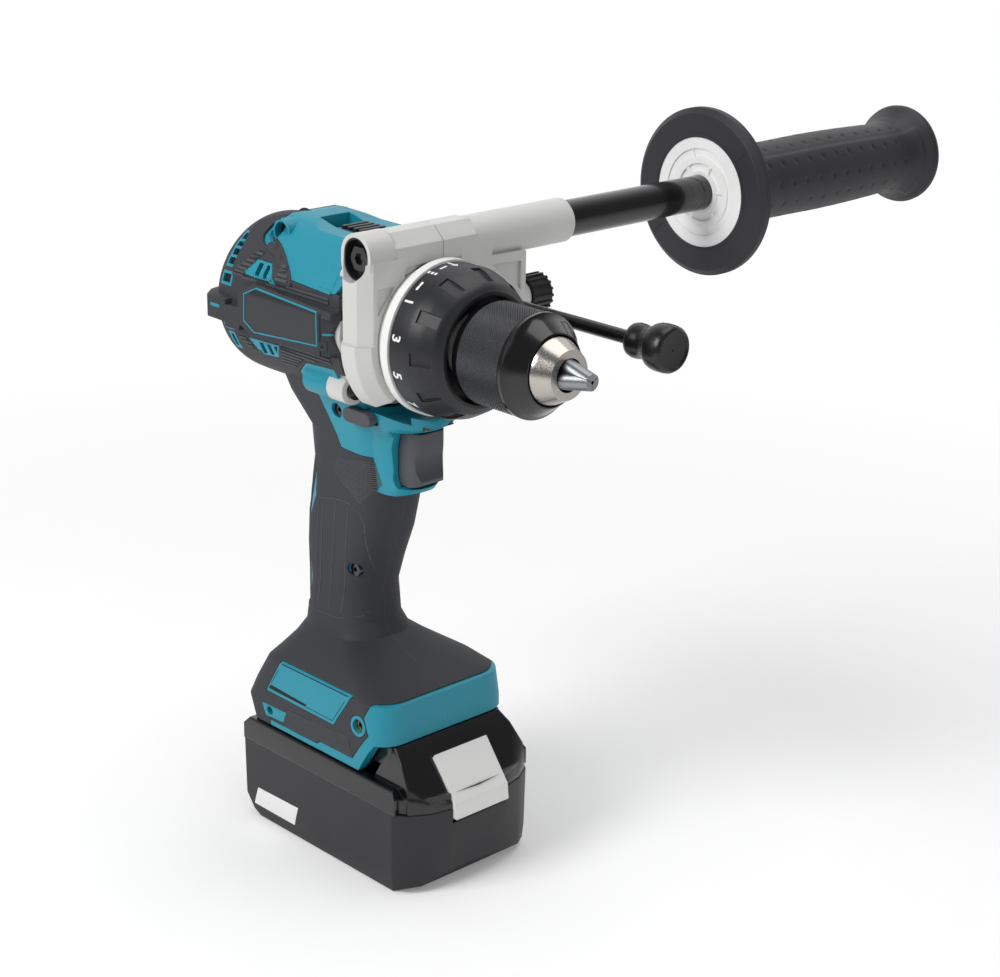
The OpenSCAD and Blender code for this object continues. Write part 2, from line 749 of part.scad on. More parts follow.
module speed_slider()
    color("#1e1f20")
    union() {
        block([-slider_l - 3.4, -7.5, slider_floor_z + fit], [-3.4, 7.5, slider_floor_z + 3]);
        for (x = [-slider_l - 1.4 : 3.5 : -7])
            block([x, -6.4, slider_floor_z + 2.8], [x + 1.8, 6.4, slider_floor_z + 4.4]);
    }

module direction_button()
    color("#2b2c2e")
    union() {
        both_sides()
            translate([0, button_y, 0]) rotate([90, 0, 0]) linear_extrude(button_cap)
                button_outline(0);
        block([button_bar[0], -button_y + 1, button_z - bar_drop], [button_bar[1], button_y - 1, button_z - 0.4]);
    }

trigger_rear_x = 9;

module trigger()
    color("#3a3b3d")
    difference() {
        intersection() {
            side_cut([
                [trigger_rear_x, trigger_low_z + 1], [trigger_rear_x, trigger_top_z - 0.6], [31, trigger_top_z - 0.6],
                [30, trigger_top_z - 6], [28.4, trigger_top_z - 12], [28.8, trigger_top_z - 17],
                [30.6, trigger_low_z + 3.5], [29.4, trigger_low_z + 1.6], [26, trigger_low_z + 0.8],
            ], trigger_w / 2);
            translate([0, 0, trigger_low_z]) linear_extrude(40) hull() {
                translate([24.4, 0]) circle(r = trigger_w / 2, $fn = 48);
                translate([6, -trigger_w / 2]) square([4, trigger_w]);
            }
        }
        block([6, -trigger_w / 2 + 1.6, trigger_low_z - 1], [14, trigger_w / 2 - 1.6, trigger_top_z - 2.4]);
    }

// ---- Handle electrics

module switch_body()
    color("#2f3133")
    union() {
        block([-24, -13, axis_z - 51], [1.6, 13, axis_z - 42]);
        block([1.6, -5, axis_z - 49], [6.4 - gap, 5, axis_z - 44]);
        block([-2.2, -4, axis_z - 42.5], [trigger_rear_x - trigger_travel - gap, 4, axis_z - 36]);
    }

module control_board()
    color("#24262b")
    union() {
        block([-31, -26, foot_band_z + 5], [33, 26, foot_band_z + 9]);
        block([-26, -20, foot_band_z + 9], [16, 20, foot_top_z - 3.4]);
    }

TERMINAL_BLADES = [-18, -6, 6, 18];

module terminal_block()
    color("#34363a")
    block([-24, -26, foot_band_z + 0.6], [2, 26, foot_band_z + 5]);

module terminal_blades()
    color("#c8a45a")
    for (y = TERMINAL_BLADES)
        block([-20, y - 0.5, foot_band_z - 7], [-4, y + 0.5, foot_band_z + 0.6]);

// ---- Motor

rotor_r = 12.6;
slots = 6;

module stator()
    color("#8b8e92")
    difference() {
        bar_x(stator_rear_x, stator_front_x, stator_r);
        bar_x(stator_rear_x - 1, stator_front_x + 1, rotor_r + 0.5);
        for (i = [0 : slots - 1])
            translate([0, 0, axis_z]) rotate([360 * (i + 0.5) / slots, 0, 0])
                translate([stator_rear_x - 1, 0, 0]) rotate([90, 0, 90])
                    linear_extrude(stator_front_x - stator_rear_x + 2)
                        polygon([[-1.2, 10], [1.2, 10], [1.2, 14.6], [5.2, 15.6], [8, 20], [6, 22.2],
                                 [-6, 22.2], [-8, 20], [-5.2, 15.6], [-1.2, 14.6]]);
    }

// Coils: a rectangular loop round each tooth
coil_inner_y = 3.45;
coil_outer_y = 5.6;
coil_low = 16.3;
coil_high = 19.4;
coil_end = 2.6;

module windings()
    color("#b9682f")
    for (i = [0 : slots - 1])
        translate([0, 0, axis_z]) rotate([360 * i / slots, 0, 0])
            difference() {
                block([stator_rear_x - coil_end, -coil_outer_y, coil_low],
                      [stator_front_x + coil_end, coil_outer_y, coil_high]);
                block([stator_rear_x - 0.05, -coil_inner_y, coil_low - 1],
                      [stator_front_x + 0.05, coil_inner_y, coil_high + 1]);
            }

module rotor()
    color("#75787c")
    pipe_x(stator_rear_x + 0.5, stator_front_x - 0.5, rotor_r, shaft_r);

module fan()
    color("#1f2022")
    union() {
        pipe_x(-27.6, -26, 23, shaft_r);
        pipe_x(-27.6, -21.8, 5, shaft_r);
        for (i = [0 : 10])
            translate([0, 0, axis_z]) rotate([360 * i / 11, 0, 0]) block([-26.4, -0.6, 4.6], [-21.8, 0.6, 23]);
    }

module ball_bearing(x, inner, outer, w)
    turned([
        [inner, x], [inner + 1.2, x], [inner + 1.2, x + 0.5], [outer - 1.2, x + 0.5], [outer - 1.2, x], [outer, x],
        [outer, x + w], [outer - 1.2, x + w], [outer - 1.2, x + w - 0.5], [inner + 1.2, x + w - 0.5],
        [inner + 1.2, x + w], [inner, x + w],
    ], 64);

module ball_bearings()
    color("#a9adb1") {
        ball_bearing(rear_bearing_x, shaft_r + 0.02, bearing_r, bearing_w);
        ball_bearing(case_rear_x, shaft_r + 0.02, bearing_r, bearing_w);
        ball_bearing(front_bearing_x, spindle_r + 0.02, spindle_bearing_r, bearing_w);
    }

// ---- Planetary gear train: two stages of equal size inside one bore

tooth_module = 1;
sun_teeth = 12;
planet_teeth = 15;
ring_teeth = sun_teeth + 2 * planet_teeth;
planet_at = tooth_module * (sun_teeth + planet_teeth) / 2;
tooth_slack = 0.12;
PLANET_ANGLES = [0, 120, 240];
plate_w = 3;
stage_w = 8;
stage_a_x = -12.6;
stage_b_x = stage_a_x + stage_w + plate_w + 4;

// Half angle of an involute tooth at radius r, for a pitch radius p
function involute(a) = tan(a) * 180 / PI - a;
function pressure(p, r) = acos(min(1, p * cos(20) / r));
function half_tooth(p, r, slack) =
    (tooth_module * PI / 4 - slack) / p * 180 / PI + involute(20) - involute(pressure(p, r));
function at_angle(r, a) = [r * cos(a), r * sin(a)];

// Outline of a gear, first tooth on the +X side of the drawing plane
function tooth_flank(p, root, tip, slack) = [
    root, max(root + 0.02, p * cos(20) + 0.02), p, (p + tip) / 2, tip,
];
module gear_outline(teeth, root, tip, slack)
    polygon([
        for (i = [0 : teeth - 1], side = [-1, 1], k = [0 : 4])
            let (
                p = tooth_module * teeth / 2,
                r = tooth_flank(p, root, tip, slack)[side < 0 ? k : 4 - k],
                a = 360 * i / teeth + side * half_tooth(p, r, slack)
            )
            at_angle(r, a)
    ]);

// Gear along X, with a tooth pointing at the angle from +Y towards +Z
module gear(x0, x1, teeth, bore, turn = 0)
    translate([x0, 0, 0]) rotate([90, 0, 90]) linear_extrude(x1 - x0) rotate(turn)
        difference() {
            gear_outline(teeth, tooth_module * (teeth / 2 - 1.15), tooth_module * (teeth / 2 + 0.85), tooth_slack);
            if (bore > 0)
                circle(r = bore, $fn = 48);
        }

module at_planet(a)
    translate([0, planet_at * cos(a), axis_z + planet_at * sin(a)]) children();

module planet(x, a)
    color("#9aa0a5")
    at_planet(a) gear(x, x + stage_w - 0.6, planet_teeth, 2.5 + fit, a);

module ring_gear(x)
    translate([x, 0, axis_z]) rotate([90, 0, 90]) linear_extrude(stage_w + 1)
        difference() {
            circle(r = case_bore - 0.02, $fn = 96);
            // the spaces between the ring's teeth are the teeth of an outer gear grown by the slack
            gear_outline(ring_teeth, tooth_module * (ring_teeth / 2 - 0.85), tooth_module * (ring_teeth / 2 + 1.15),
                         -tooth_slack);
        }

module ring_gears()
    color("#84888c") {
        ring_gear(stage_a_x - 1);
        ring_gear(stage_b_x - 1);
    }

module carrier_pins(x)
    for (a = PLANET_ANGLES)
        at_planet(a) translate([x, 0, 0]) rotate([0, 90, 0]) cylinder(h = stage_w + plate_w - 1, r = 2.5, $fn = 40);

module carrier_plate(x)
    bar_x(x, x + plate_w, 18.4);

module motor_shaft()
    color("#b4b8bb")
    union() {
        bar_x(rear_bearing_x, case_rear_x + bearing_w + 0.5, shaft_r);
        translate([0, 0, axis_z]) gear(case_rear_x + bearing_w + 0.4, stage_a_x + stage_w - 0.6, sun_teeth, 0);
    }

module carrier_a()
    color("#9aa0a5")
    union() {
        carrier_plate(stage_a_x + stage_w);
        carrier_pins(stage_a_x);
        translate([0, 0, axis_z]) gear(stage_a_x + stage_w + plate_w - 0.5, stage_b_x + stage_w - 0.6, sun_teeth, 0);
    }

module planet_a1() planet(stage_a_x, PLANET_ANGLES[0]);
module planet_a2() planet(stage_a_x, PLANET_ANGLES[1]);
module planet_a3() planet(stage_a_x, PLANET_ANGLES[2]);
module planet_b1() planet(stage_b_x, PLANET_ANGLES[0]);
module planet_b2() planet(stage_b_x, PLANET_ANGLES[1]);
module planet_b3() planet(stage_b_x, PLANET_ANGLES[2]);

chuck_rear_x = nose_x - 43.8;

module spindle()
    color("#aeb2b5")
    difference() {
        union() {
            carrier_plate(stage_b_x + stage_w);
            carrier_pins(stage_b_x);
            bar_x(stage_b_x + stage_w + plate_w - 1, chuck_rear_x + 10, spindle_r);
        }
        bar_x(chuck_rear_x - 2, chuck_rear_x + 11, 2.55);
    }

// ---- Torque ring

ring_rear_x = 39.3;
ring_front_x = chuck_rear_x - 0.4;
GRIPS = 11;

module torque_ring()
    color("#1d1e20")
    difference() {
        union() {
            turned([
                [case_nose_r + fit, ring_front_x - 12], [28, ring_front_x - 12], [28, ring_rear_x],
                [ring_r, ring_rear_x + 0.3], [ring_r, 48], [29.2, 53.4], [27, ring_front_x - 4.4],
                [25.6, ring_front_x - 2], [23, ring_front_x], [21.6, ring_front_x], [21.2, ring_front_x - 8],
                [case_nose_r + fit, ring_front_x - 8],
            ]);
        }
        for (i = [0 : GRIPS - 1])
            translate([0, 0, axis_z]) rotate([1 - 360 * i / GRIPS, 0, 0])
                side_recess();
    }

// Finger recess in the sloping front of the torque ring
module side_recess()
    translate([(ring_rear_x + ring_front_x) / 2 + 4.4, -ring_r + 1.6, 0]) rotate([0, 0, 24])
        block([-4.8, -6, -2.6], [4.4, 1.8, 2.6]);

// ---- Keyless chuck: three jaws slide in bores that lean towards the axis

jaw_apex_x = nose_x + 10.1;
jaw_tip_x = nose_x + 12;
jaw_rear_x = nose_x - 18.2;
nut_x = nose_x - 19.6;
nut_w = 5;
core_gap = 0.35;
JAW_ANGLES = [90, 210, 330];
// Distance of a jaw's centre line from the chuck axis
function jaw_line(x) = (jaw_apex_x - x) * tan(jaw_slope);
// Radius that the outsides of the jaws reach
function jaw_reach(x) = jaw_line(x) + jaw_r / cos(jaw_slope);

// Cylinder on a jaw's centre line between two places along the drill
module jaw_rod(x0, x1, r)
    translate([jaw_apex_x, 0, 0]) rotate([0, -90 + jaw_slope, 0])
        translate([0, 0, (jaw_apex_x - x1) / cos(jaw_slope)])
            cylinder(h = (x1 - x0) / cos(jaw_slope), r = r, $fn = 48);

module chuck_body()
    color("#2a2c2e")
    difference() {
        turned([
            [0, chuck_rear_x], [18, chuck_rear_x], [18, nut_x - gap], [jaw_reach(nut_x) - core_gap, nut_x - gap],
            [jaw_reach(nut_x + nut_w) - core_gap, nut_x + nut_w + gap], [13.9, nut_x + nut_w + gap],
            [13.6, nose_x - 8], [9.7, nose_x], [0, nose_x],
        ]);
        bar_x(chuck_rear_x - 1, chuck_rear_x + 10, spindle_r + 0.02);
        bar_x(chuck_rear_x + 9, chuck_rear_x + 13, 2.55);
        bar_x(chuck_rear_x + 12, nose_x + 1, 6.6);
        for (a = JAW_ANGLES)
            translate([0, 0, axis_z]) rotate([a - 90, 0, 0])
                jaw_rod(jaw_rear_x - jaw_travel * cos(jaw_slope) - 0.6, nose_x + 3, jaw_r + fit);
    }

module chuck_screw()
    color("#5a5e62")
    difference() {
        union() {
            bar_x(chuck_rear_x - 1, chuck_rear_x + 12.5, 2.5, fn = 32);
            bar_x(chuck_rear_x + 12.02, chuck_rear_x + 15, 4.6, fn = 40);
        }
        bar_x(chuck_rear_x + 13, chuck_rear_x + 16, 2, fn = 6);
    }

module chuck_nut()
    color("#5a5e62")
    turned([
        [jaw_reach(nut_x) + 0.1, nut_x], [18.28, nut_x], [18.28, nut_x + nut_w],
        [jaw_reach(nut_x + nut_w) + 0.1, nut_x + nut_w],
    ]);

module chuck_sleeve()
    color("#1b1c1d")
    turned([
        [18 + fit, chuck_rear_x + 0.4], [19.6, chuck_rear_x + 0.4], [19.9, chuck_rear_x + 3.4],
        [sleeve_r, chuck_rear_x + 3.8], [sleeve_r, nose_x - 17.4], [sleeve_r + 0.4, nose_x - 17],
        [sleeve_r + 0.4, nose_x - 15.6], [sleeve_r - 0.6, nose_x - 15], [14.6, nose_x - 7.8], [14, nose_x - 7.6],
        [14, nose_x - 11], [16, nut_x + nut_w], [18.3, nut_x + nut_w], [18.3, chuck_rear_x + 4],
        [18 + fit, chuck_rear_x + 4],
    ]);

// Jaw cut to a wedge on the inside, with a shallow groove along its gripping edge
module jaw(a)
    color("#8a8d90")
    translate([0, 0, axis_z]) rotate([a - 90, 0, 0])
        difference() {
            intersection() {
                jaw_rod(jaw_rear_x, jaw_tip_x + 6, jaw_r);
                translate([jaw_rear_x - 6, 0, 0]) rotate([90, 0, 90]) linear_extrude(jaw_tip_x - jaw_rear_x + 6)
                    polygon([[0, 0.12], [-34.64, 20.12], [34.64, 20.12]]);
            }
            bar_groove();
        }

module bar_groove()
    translate([jaw_rear_x - 10, 0, 0]) rotate([0, 90, 0])
        cylinder(h = 60, r = 0.75, $fn = 32);

module jaw_1() jaw(JAW_ANGLES[0]);
module jaw_2() jaw(JAW_ANGLES[1]);
module jaw_3() jaw(JAW_ANGLES[2]);

// ---- Clamp of the side handle: two arms round the collar, drawn together by the handle's bolt

clamp_x0 = 13.2;
clamp_x1 = 30.8;
clamp_bevel = 4.6;
clamp_inner_r = collar_r + gap + 0.1;
clamp_outer_r = trench_r - 0.4;
clamp_side_y = 35.6;
clamp_split_y = 5;
bar_half = 9.2;
bolt_r = 3;

// Outline across the drill, [y, rise], pulled along X
module across(x0, x1, points)
    translate([x0, 0, axis_z]) rotate([90, 0, 90]) linear_extrude(x1 - x0) polygon(points);

module clamp_bore()
    bar_x(clamp_x0 - 1, clamp_x1 + 1, clamp_inner_r, fn = 96);

// Arm on the -Y side: a bevelled band round the collar with a straight flank above
module clamp_arm() {
    intersection() {
        turned([
            [20, clamp_x0], [clamp_outer_r - clamp_bevel, clamp_x0], [clamp_outer_r, clamp_x0 + clamp_bevel],
            [clamp_outer_r, clamp_x1 - clamp_bevel], [clamp_outer_r - clamp_bevel, clamp_x1], [20, clamp_x1],
        ]);
        across(clamp_x0, clamp_x1, [[-50, 0], [-50, -34], [-25.5, -25.7], [-16, -21], [0, 0]]);
    }
    intersection() {
        linear_extrude(far) polygon([
            [clamp_x0, 0], [clamp_x0, clamp_bevel - clamp_side_y], [clamp_x0 + clamp_bevel, -clamp_side_y],
            [clamp_x1 - clamp_bevel, -clamp_side_y], [clamp_x1, clamp_bevel - clamp_side_y], [clamp_x1, 0],
        ]);
        across(clamp_x0, clamp_x1, [[-60, -9], [-60, 24], [-30, handle_rise], [-14, handle_rise], [-20, -9]]);
    }
}

// Bevelled bar along the handle's axis
module clamp_bar(y0, y1)
    translate([handle_x, y0, handle_z]) rotate([-90, 0, 0]) linear_extrude(y1 - y0)
        rotate(22.5) circle(r = bar_half / cos(22.5), $fn = 8);

// Upright oval boss along the handle's axis
oval_rise = 1.4;
module oval_y(y0, y1, r) {
    bar_y(y0, y1, r, handle_x, handle_z - oval_rise);
    bar_y(y0, y1, r, handle_x, handle_z + oval_rise);
    block([handle_x - r, y0, handle_z - oval_rise], [handle_x + r, y1, handle_z + oval_rise]);
}

module clamp_near()
    color("#c9cac6")
    difference() {
        union() {
            clamp_arm();
            clamp_bar(-19, clamp_split_y - 0.3);
            bar_y(-20, -8, 8.2, handle_x, handle_z);
            oval_y(-32, -19, 8.8);
            across(clamp_x0 + 1, clamp_x1 - 1, [[clamp_split_y - 0.3, 26], [clamp_split_y - 0.3, 38], [-16, 36], [-26, 26]]);
        }
        clamp_bore();
        oval_y(-40, -27, 7.1);
        bar_y(-30, 20, bolt_r + 0.02, handle_x, handle_z);
        across(clamp_x1 - 1.2, clamp_x1 + 1, [[-28.8, 22.4], [-20.4, 22.4], [-22, 19], [-28.8, 12]]);
    }

module clamp_far()
    color("#c9cac6")
    difference() {
        union() {
            mirror([0, 1, 0]) clamp_arm();
            clamp_bar(clamp_split_y, 23);
            bar_y(20, sleeve_end_y, bar_half, handle_x, handle_z);
            across(clamp_x0 + 1, clamp_x1 - 1, [[clamp_split_y, 26], [clamp_split_y, 38], [20, 38], [26, 26]]);
            across(clamp_x0, clamp_x1, [[22, 6], [22, handle_rise - 6], [50, handle_rise - 7], [50, 0], [30, -5]]);
            bar_y(48, 56.5, 6.4, handle_x, rod_z);
        }
        clamp_bore();
        bar_y(0, 60, bolt_r + 0.1, handle_x, handle_z);
        bar_y(55, 90, tube_r + fit, handle_x, handle_z);
        bar_x(clamp_x0 - 1, clamp_x1 + 1, rod_r + fit, y = rod_y, rise = rod_z - axis_z, fn = 48);
        bar_y(rod_y, 60, knob_shank_r + fit, handle_x, rod_z, 32);
        across(clamp_x1 - 1.2, clamp_x1 + 1, [[31, 23], [47.2, 22.4], [47.2, 10.6]]);
    }

module clamp_liner()
    color("#18191a")
    intersection() {
        pipe_x(clamp_x0 + 0.2, clamp_x1 + 2, clamp_inner_r, collar_r + fit, 96);
        across(clamp_x0, clamp_x1 + 3, [[0, 0], [-18, 60], [clamp_split_y - 1.2, 60], [clamp_split_y - 1.2, 0]]);
    }

module clamp_bolt()
    color("#2b2d30")
    difference() {
        union() {
            bar_y(-28, 74, bolt_r, handle_x, handle_z);
            bar_y(-30.4, -27, 5.4, handle_x, handle_z, 6);
        }
        bar_y(-33, -29, 2.5, handle_x, handle_z, 6);
    }

// ---- Side handle

module handle_tube()
    color("#232426")
    turned_y([
        [bolt_r + fit, 55.4], [tube_r, 55.4], [tube_r, grip_end_y - 14], [tube_r - 2.1, grip_end_y - 14],
        [tube_r - 2.1, 75], [bolt_r + fit, 75],
    ], handle_x, handle_z);

module hand_guard()
    color("#37393b")
    turned_y([
        [tube_r, guard_y - 1.4], [25.6, guard_y - 1.4], [25.6, guard_y - 3], [guard_r - 2.4, guard_y - 3],
        [guard_r, guard_y - 1], [guard_r, guard_y + 2], [guard_r - 2.4, guard_y + 3.6], [24, guard_y + 6],
        [grip_r + 1, guard_y + 14], [tube_r, guard_y + 14],
    ], handle_x, handle_z, 96);

module guard_hub()
    color("#e4e3de")
    union() {
        turned_y([[tube_r, guard_y - 4.6], [10.5, guard_y - 4.6], [10.5, guard_y - 2.4], [23, guard_y - 2.4],
                  [23, guard_y - 3.4], [25.2, guard_y - 3.4], [25.2, guard_y - 1.4], [tube_r, guard_y - 1.4]],
                 handle_x, handle_z, 96);
        for (i = [0 : 5])
            translate([handle_x, guard_y - 2.2, handle_z]) rotate([0, 60 * i + 30, 0])
                block([9.6, -1, -0.9], [23.6, 0, 0.9]);
    }

module side_grip()
    color("#343638")
    turned_y([
        [tube_r, guard_y + 14], [grip_r + 0.6, guard_y + 14], [grip_r + 0.4, 205], [grip_r + 0.9, 235],
        [grip_r + 0.6, 262], [grip_r - 0.4, grip_end_y - 18], [grip_r + 1, grip_end_y - 13],
        [23.2, grip_end_y - 4.6], [23.2, grip_end_y - 2.4], [20, grip_end_y], [0, grip_end_y],
        [0, grip_end_y - 5], [11, grip_end_y - 5], [grip_r - 3, grip_end_y - 12], [grip_r - 3, guard_y + 18],
        [tube_r + 1.6, guard_y + 18], [tube_r + 1.6, grip_end_y - 14], [tube_r, grip_end_y - 14],
    ], handle_x, handle_z);

// ---- Depth rod

rod_z = axis_z + 4.6;
knob_shank_r = 2.3;
rod_rear_x = -30;

module depth_rod()
    color("#26272a")
    bar_x(rod_rear_x, rod_rear_x + rod_l, rod_r, y = rod_y, rise = rod_z - axis_z);

module depth_rod_end()
    color("#17181a")
    translate([0, rod_y, rod_z - axis_z]) turned([
        [0, rod_rear_x + rod_l], [rod_r, rod_rear_x + rod_l], [rod_r, rod_rear_x + rod_l - 12],
        [5.6, rod_rear_x + rod_l - 12], [6.4, rod_rear_x + rod_l - 6], [9.5, rod_rear_x + rod_l + 2],
        [9.5, rod_rear_x + rod_l + 8], [8.6, rod_rear_x + rod_l + 9.6], [0, rod_rear_x + rod_l + 9.6],
    ], 64);

module depth_knob()
    color("#232426")
    union() {
        bar_y(rod_y + rod_r + gap, 58, knob_shank_r, handle_x, rod_z, 32);
        translate([handle_x, 57, rod_z]) rotate([-90, 0, 0]) linear_extrude(10.5)
            union() {
                circle(r = 7.6, $fn = 48);
                for (i = [0 : 17])
                    rotate(20 * i) translate([7.4, 0]) square([1.8, 1.1], center = true);
            }
    }

// ---- Battery

battery_wall = 2.6;
cell_r = 9.1;
cell_pitch = 18.4;
// Length of a cell: what the case leaves inside, less its two end contacts
cell_end = 2.1;
cell_l = 2 * (battery_half_w - battery_wall - cell_end);
cell_floor_z = 2.4;
cell_first_x = -33;

// Plan of the battery: straight sides, bowed front, chamfered corners
module battery_plan(inset)
    offset(delta = -inset)
        polygon([
            [battery_rear_x, -battery_half_w + 2], [battery_rear_x + 1.6, -battery_half_w],
            [battery_front_x - 8, -battery_half_w], [battery_front_x - 2.6, -battery_half_w + 3.4],
            [battery_front_x + 0.5 * battery_bulge, -25], [battery_front_x + 0.9 * battery_bulge, -15],
            [battery_front_x + battery_bulge, 0],
            [battery_front_x + 0.9 * battery_bulge, 15], [battery_front_x + 0.5 * battery_bulge, 25],
            [battery_front_x - 2.6, battery_half_w - 3.4], [battery_front_x - 8, battery_half_w],
            [battery_rear_x + 1.6, battery_half_w], [battery_rear_x, battery_half_w - 2],
        ]);

module battery_lower()
    color("#222325")
    difference() {
        hull() {
            translate([0, 0, battery_seam_z - 1]) linear_extrude(1) battery_plan(0);
            translate([0, 0, 9.6]) linear_extrude(1) battery_plan(0.4);
            translate([0, 0, 3]) linear_extrude(1) intersection() {
                battery_plan(1);
                translate([-45, -60]) square([101, 120]);
            }
            linear_extrude(1) intersection() {
                battery_plan(2);
                translate([-42, -60]) square([89, 120]);
            }
        }
        translate([0, 0, 8.6]) linear_extrude(battery_seam_z) battery_plan(battery_wall);
        // floor under the cells, sloping up at the rear
        side_cut([[-46.5, 11], [-38.5, cell_floor_z], [battery_front_x - 4, cell_floor_z],
                  [battery_front_x - 4, 12], [-46.5, 12]], battery_half_w - 4.6);
        button_room();
        gauge_form(0.02);
        check_bar(fit);
    }

head_half_w = 30;
head_neck_w = foot_half_w - 8.8;
head_top_z = foot_band_z - 0.6;
head_rear_x = -38;
RIDGE_END = 50;

module battery_upper()
    color("#1a1b1c")
    difference() {
        union() {
            translate([0, 0, battery_seam_z]) linear_extrude(6.6) battery_plan(1.2);
            // side ridges
            both_sides()
                hull() {
                    block([battery_rear_x + 1, battery_half_w - 5, battery_seam_z],
                          [RIDGE_END, battery_half_w, battery_seam_z + 7]);
                    block([battery_rear_x + 4, battery_half_w - 5, battery_seam_z],
                          [RIDGE_END - 3, battery_half_w - 1.2, battery_ridge_z]);
                }
            // head with its T-shaped rails
            block([head_rear_x, -head_neck_w, battery_seam_z + 4], [40, head_neck_w, head_top_z]);
            block([head_rear_x, -head_half_w, foot_skirt_z + 4.2], [40, head_half_w, head_top_z]);
            // sloping front
            hull() {
                translate([0, 0, battery_seam_z]) linear_extrude(3)
                    intersection() {
                        battery_plan(0.4);
                        translate([30, -33]) square([60, 66]);
                    }
                block([33, -32.5, battery_seam_z + 11], [52.6, 32.5, battery_seam_z + 12]);
                block([38.4, -30.6, head_top_z - 5.4], [46.6, 30.6, head_top_z - 4.4]);
                block([38, -29, head_top_z - 0.4], [41, 29, head_top_z]);
            }
        }
        // inside, and the slots that take the tool's terminals
        translate([0, 0, battery_seam_z - 1]) linear_extrude(5) battery_plan(battery_wall + 1.9);
        block([head_rear_x + 3, -head_neck_w + 3, battery_seam_z], [34, head_neck_w - 3, head_top_z - 3]);
        for (y = TERMINAL_BLADES)
            block([head_rear_x - 1, y - 1, foot_band_z - 8], [-3, y + 1, head_top_z + 1]);
        button_room();
    }

release_half_w = 14.6;
release_travel = 3.5;
// Direction in which the release button is pressed, square to the battery's front slope
RELEASE_PUSH = [-0.806, -0.591];

module release_outline(push)
    translate(push * RELEASE_PUSH)
        polygon([[46, 51.6], [49, 56], [62.4, 38.8], [63.2, 31.8], [59, 31.8], [57.6, 37.6]]);

// Pocket of the release button, as deep as its travel
module button_room()
    translate([0, release_half_w + gap, 0]) rotate([90, 0, 0]) linear_extrude(2 * (release_half_w + gap))
        offset(delta = gap) hull() {
            release_outline(0);
            release_outline(release_travel);
        }

module battery_release()
    color("#d9d9d6")
    translate([0, release_half_w, 0]) rotate([90, 0, 0]) linear_extrude(2 * release_half_w)
        release_outline(0);

module battery_cells()
    color("#5f8f5a")
    for (i = [0 : 4], k = [0, 1])
        bar_y(-cell_l / 2, cell_l / 2, cell_r, cell_first_x + cell_pitch * i,
              cell_floor_z + cell_r + 0.05 + k * cell_pitch, 40);

module battery_board()
    color("#2c5a3c")
    block([-34.6, -24, cell_floor_z + 2 * cell_pitch + 0.2], [32, 24, battery_seam_z + 5]);

module gauge_form(grow)
    block([battery_rear_x - 0.3, -14 - grow, 26 - grow], [battery_rear_x + 1.6 + grow, 6 + grow, 33 + grow]);

module check_bar(grow)
    bar_x(battery_rear_x - 1, battery_rear_x + 3, 2.6 + grow, y = 11, rise = 29.5 - axis_z);

module charge_gauge()
    color("#2b2d30")
    gauge_form(0);

module check_button()
    color("#b03a34")
    check_bar(0);

// ---- Drawing

housing_right();
housing_left();
rubber_right();
rubber_left();
rear_cover();
rear_cover_rubber();
gear_case();
index_ring();
housing_screws();
gear_case_screws();
belt_hook_nuts();
led_lens();
speed_slider();
direction_button();
trigger();
switch_body();
control_board();
terminal_block();
terminal_blades();
stator();
windings();
rotor();
motor_shaft();
fan();
ball_bearings();
ring_gears();
carrier_a();
planet_a1();
planet_a2();
planet_a3();
spindle();
planet_b1();
planet_b2();
planet_b3();
torque_ring();
chuck_body();
chuck_sleeve();
chuck_nut();
jaw_1();
jaw_2();
jaw_3();
chuck_screw();
clamp_near();
clamp_far();
clamp_liner();
clamp_bolt();
handle_tube();
hand_guard();
guard_hub();
side_grip();
depth_rod();
depth_rod_end();
depth_knob();
battery_lower();
battery_upper();
battery_cells();
battery_board();
battery_release();
charge_gauge();
check_button();
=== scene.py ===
import math

import bmesh
import bpy
from mathutils import Matrix, Vector
from mathutils.bvhtree import BVHTree


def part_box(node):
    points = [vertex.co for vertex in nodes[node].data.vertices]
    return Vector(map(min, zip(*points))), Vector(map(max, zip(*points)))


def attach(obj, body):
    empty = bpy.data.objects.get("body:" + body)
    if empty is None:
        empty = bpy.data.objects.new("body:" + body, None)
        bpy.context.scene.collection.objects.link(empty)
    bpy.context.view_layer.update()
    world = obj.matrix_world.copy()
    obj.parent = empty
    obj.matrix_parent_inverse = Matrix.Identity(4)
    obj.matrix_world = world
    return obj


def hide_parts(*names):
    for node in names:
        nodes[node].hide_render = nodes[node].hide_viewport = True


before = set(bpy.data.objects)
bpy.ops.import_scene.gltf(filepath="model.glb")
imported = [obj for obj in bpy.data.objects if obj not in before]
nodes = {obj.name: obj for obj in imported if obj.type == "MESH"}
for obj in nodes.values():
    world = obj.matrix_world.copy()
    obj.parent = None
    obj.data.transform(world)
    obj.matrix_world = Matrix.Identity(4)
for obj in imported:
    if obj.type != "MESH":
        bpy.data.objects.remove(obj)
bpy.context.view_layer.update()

mm = 0.001

ringLow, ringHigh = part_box("torque_ring")
tubeLow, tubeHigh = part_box("handle_tube")
axisZ = (ringLow[2] + ringHigh[2]) / 2        # height of the chuck axis
handleX = (tubeLow[0] + tubeHigh[0]) / 2      # side handle axis, which runs along Y
handleZ = (tubeLow[2] + tubeHigh[2]) / 2
print("frame loaded, chuck axis at", round(axisZ / mm, 1), "mm")


def toLinear(code, alpha=1.0):
    def channel(pair):
        value = int(pair, 16) / 255
        return value / 12.92 if value <= 0.04045 else ((value + 0.055) / 1.055) ** 2.4
    return tuple(channel(code[i:i + 2]) for i in (1, 3, 5)) + (alpha,)


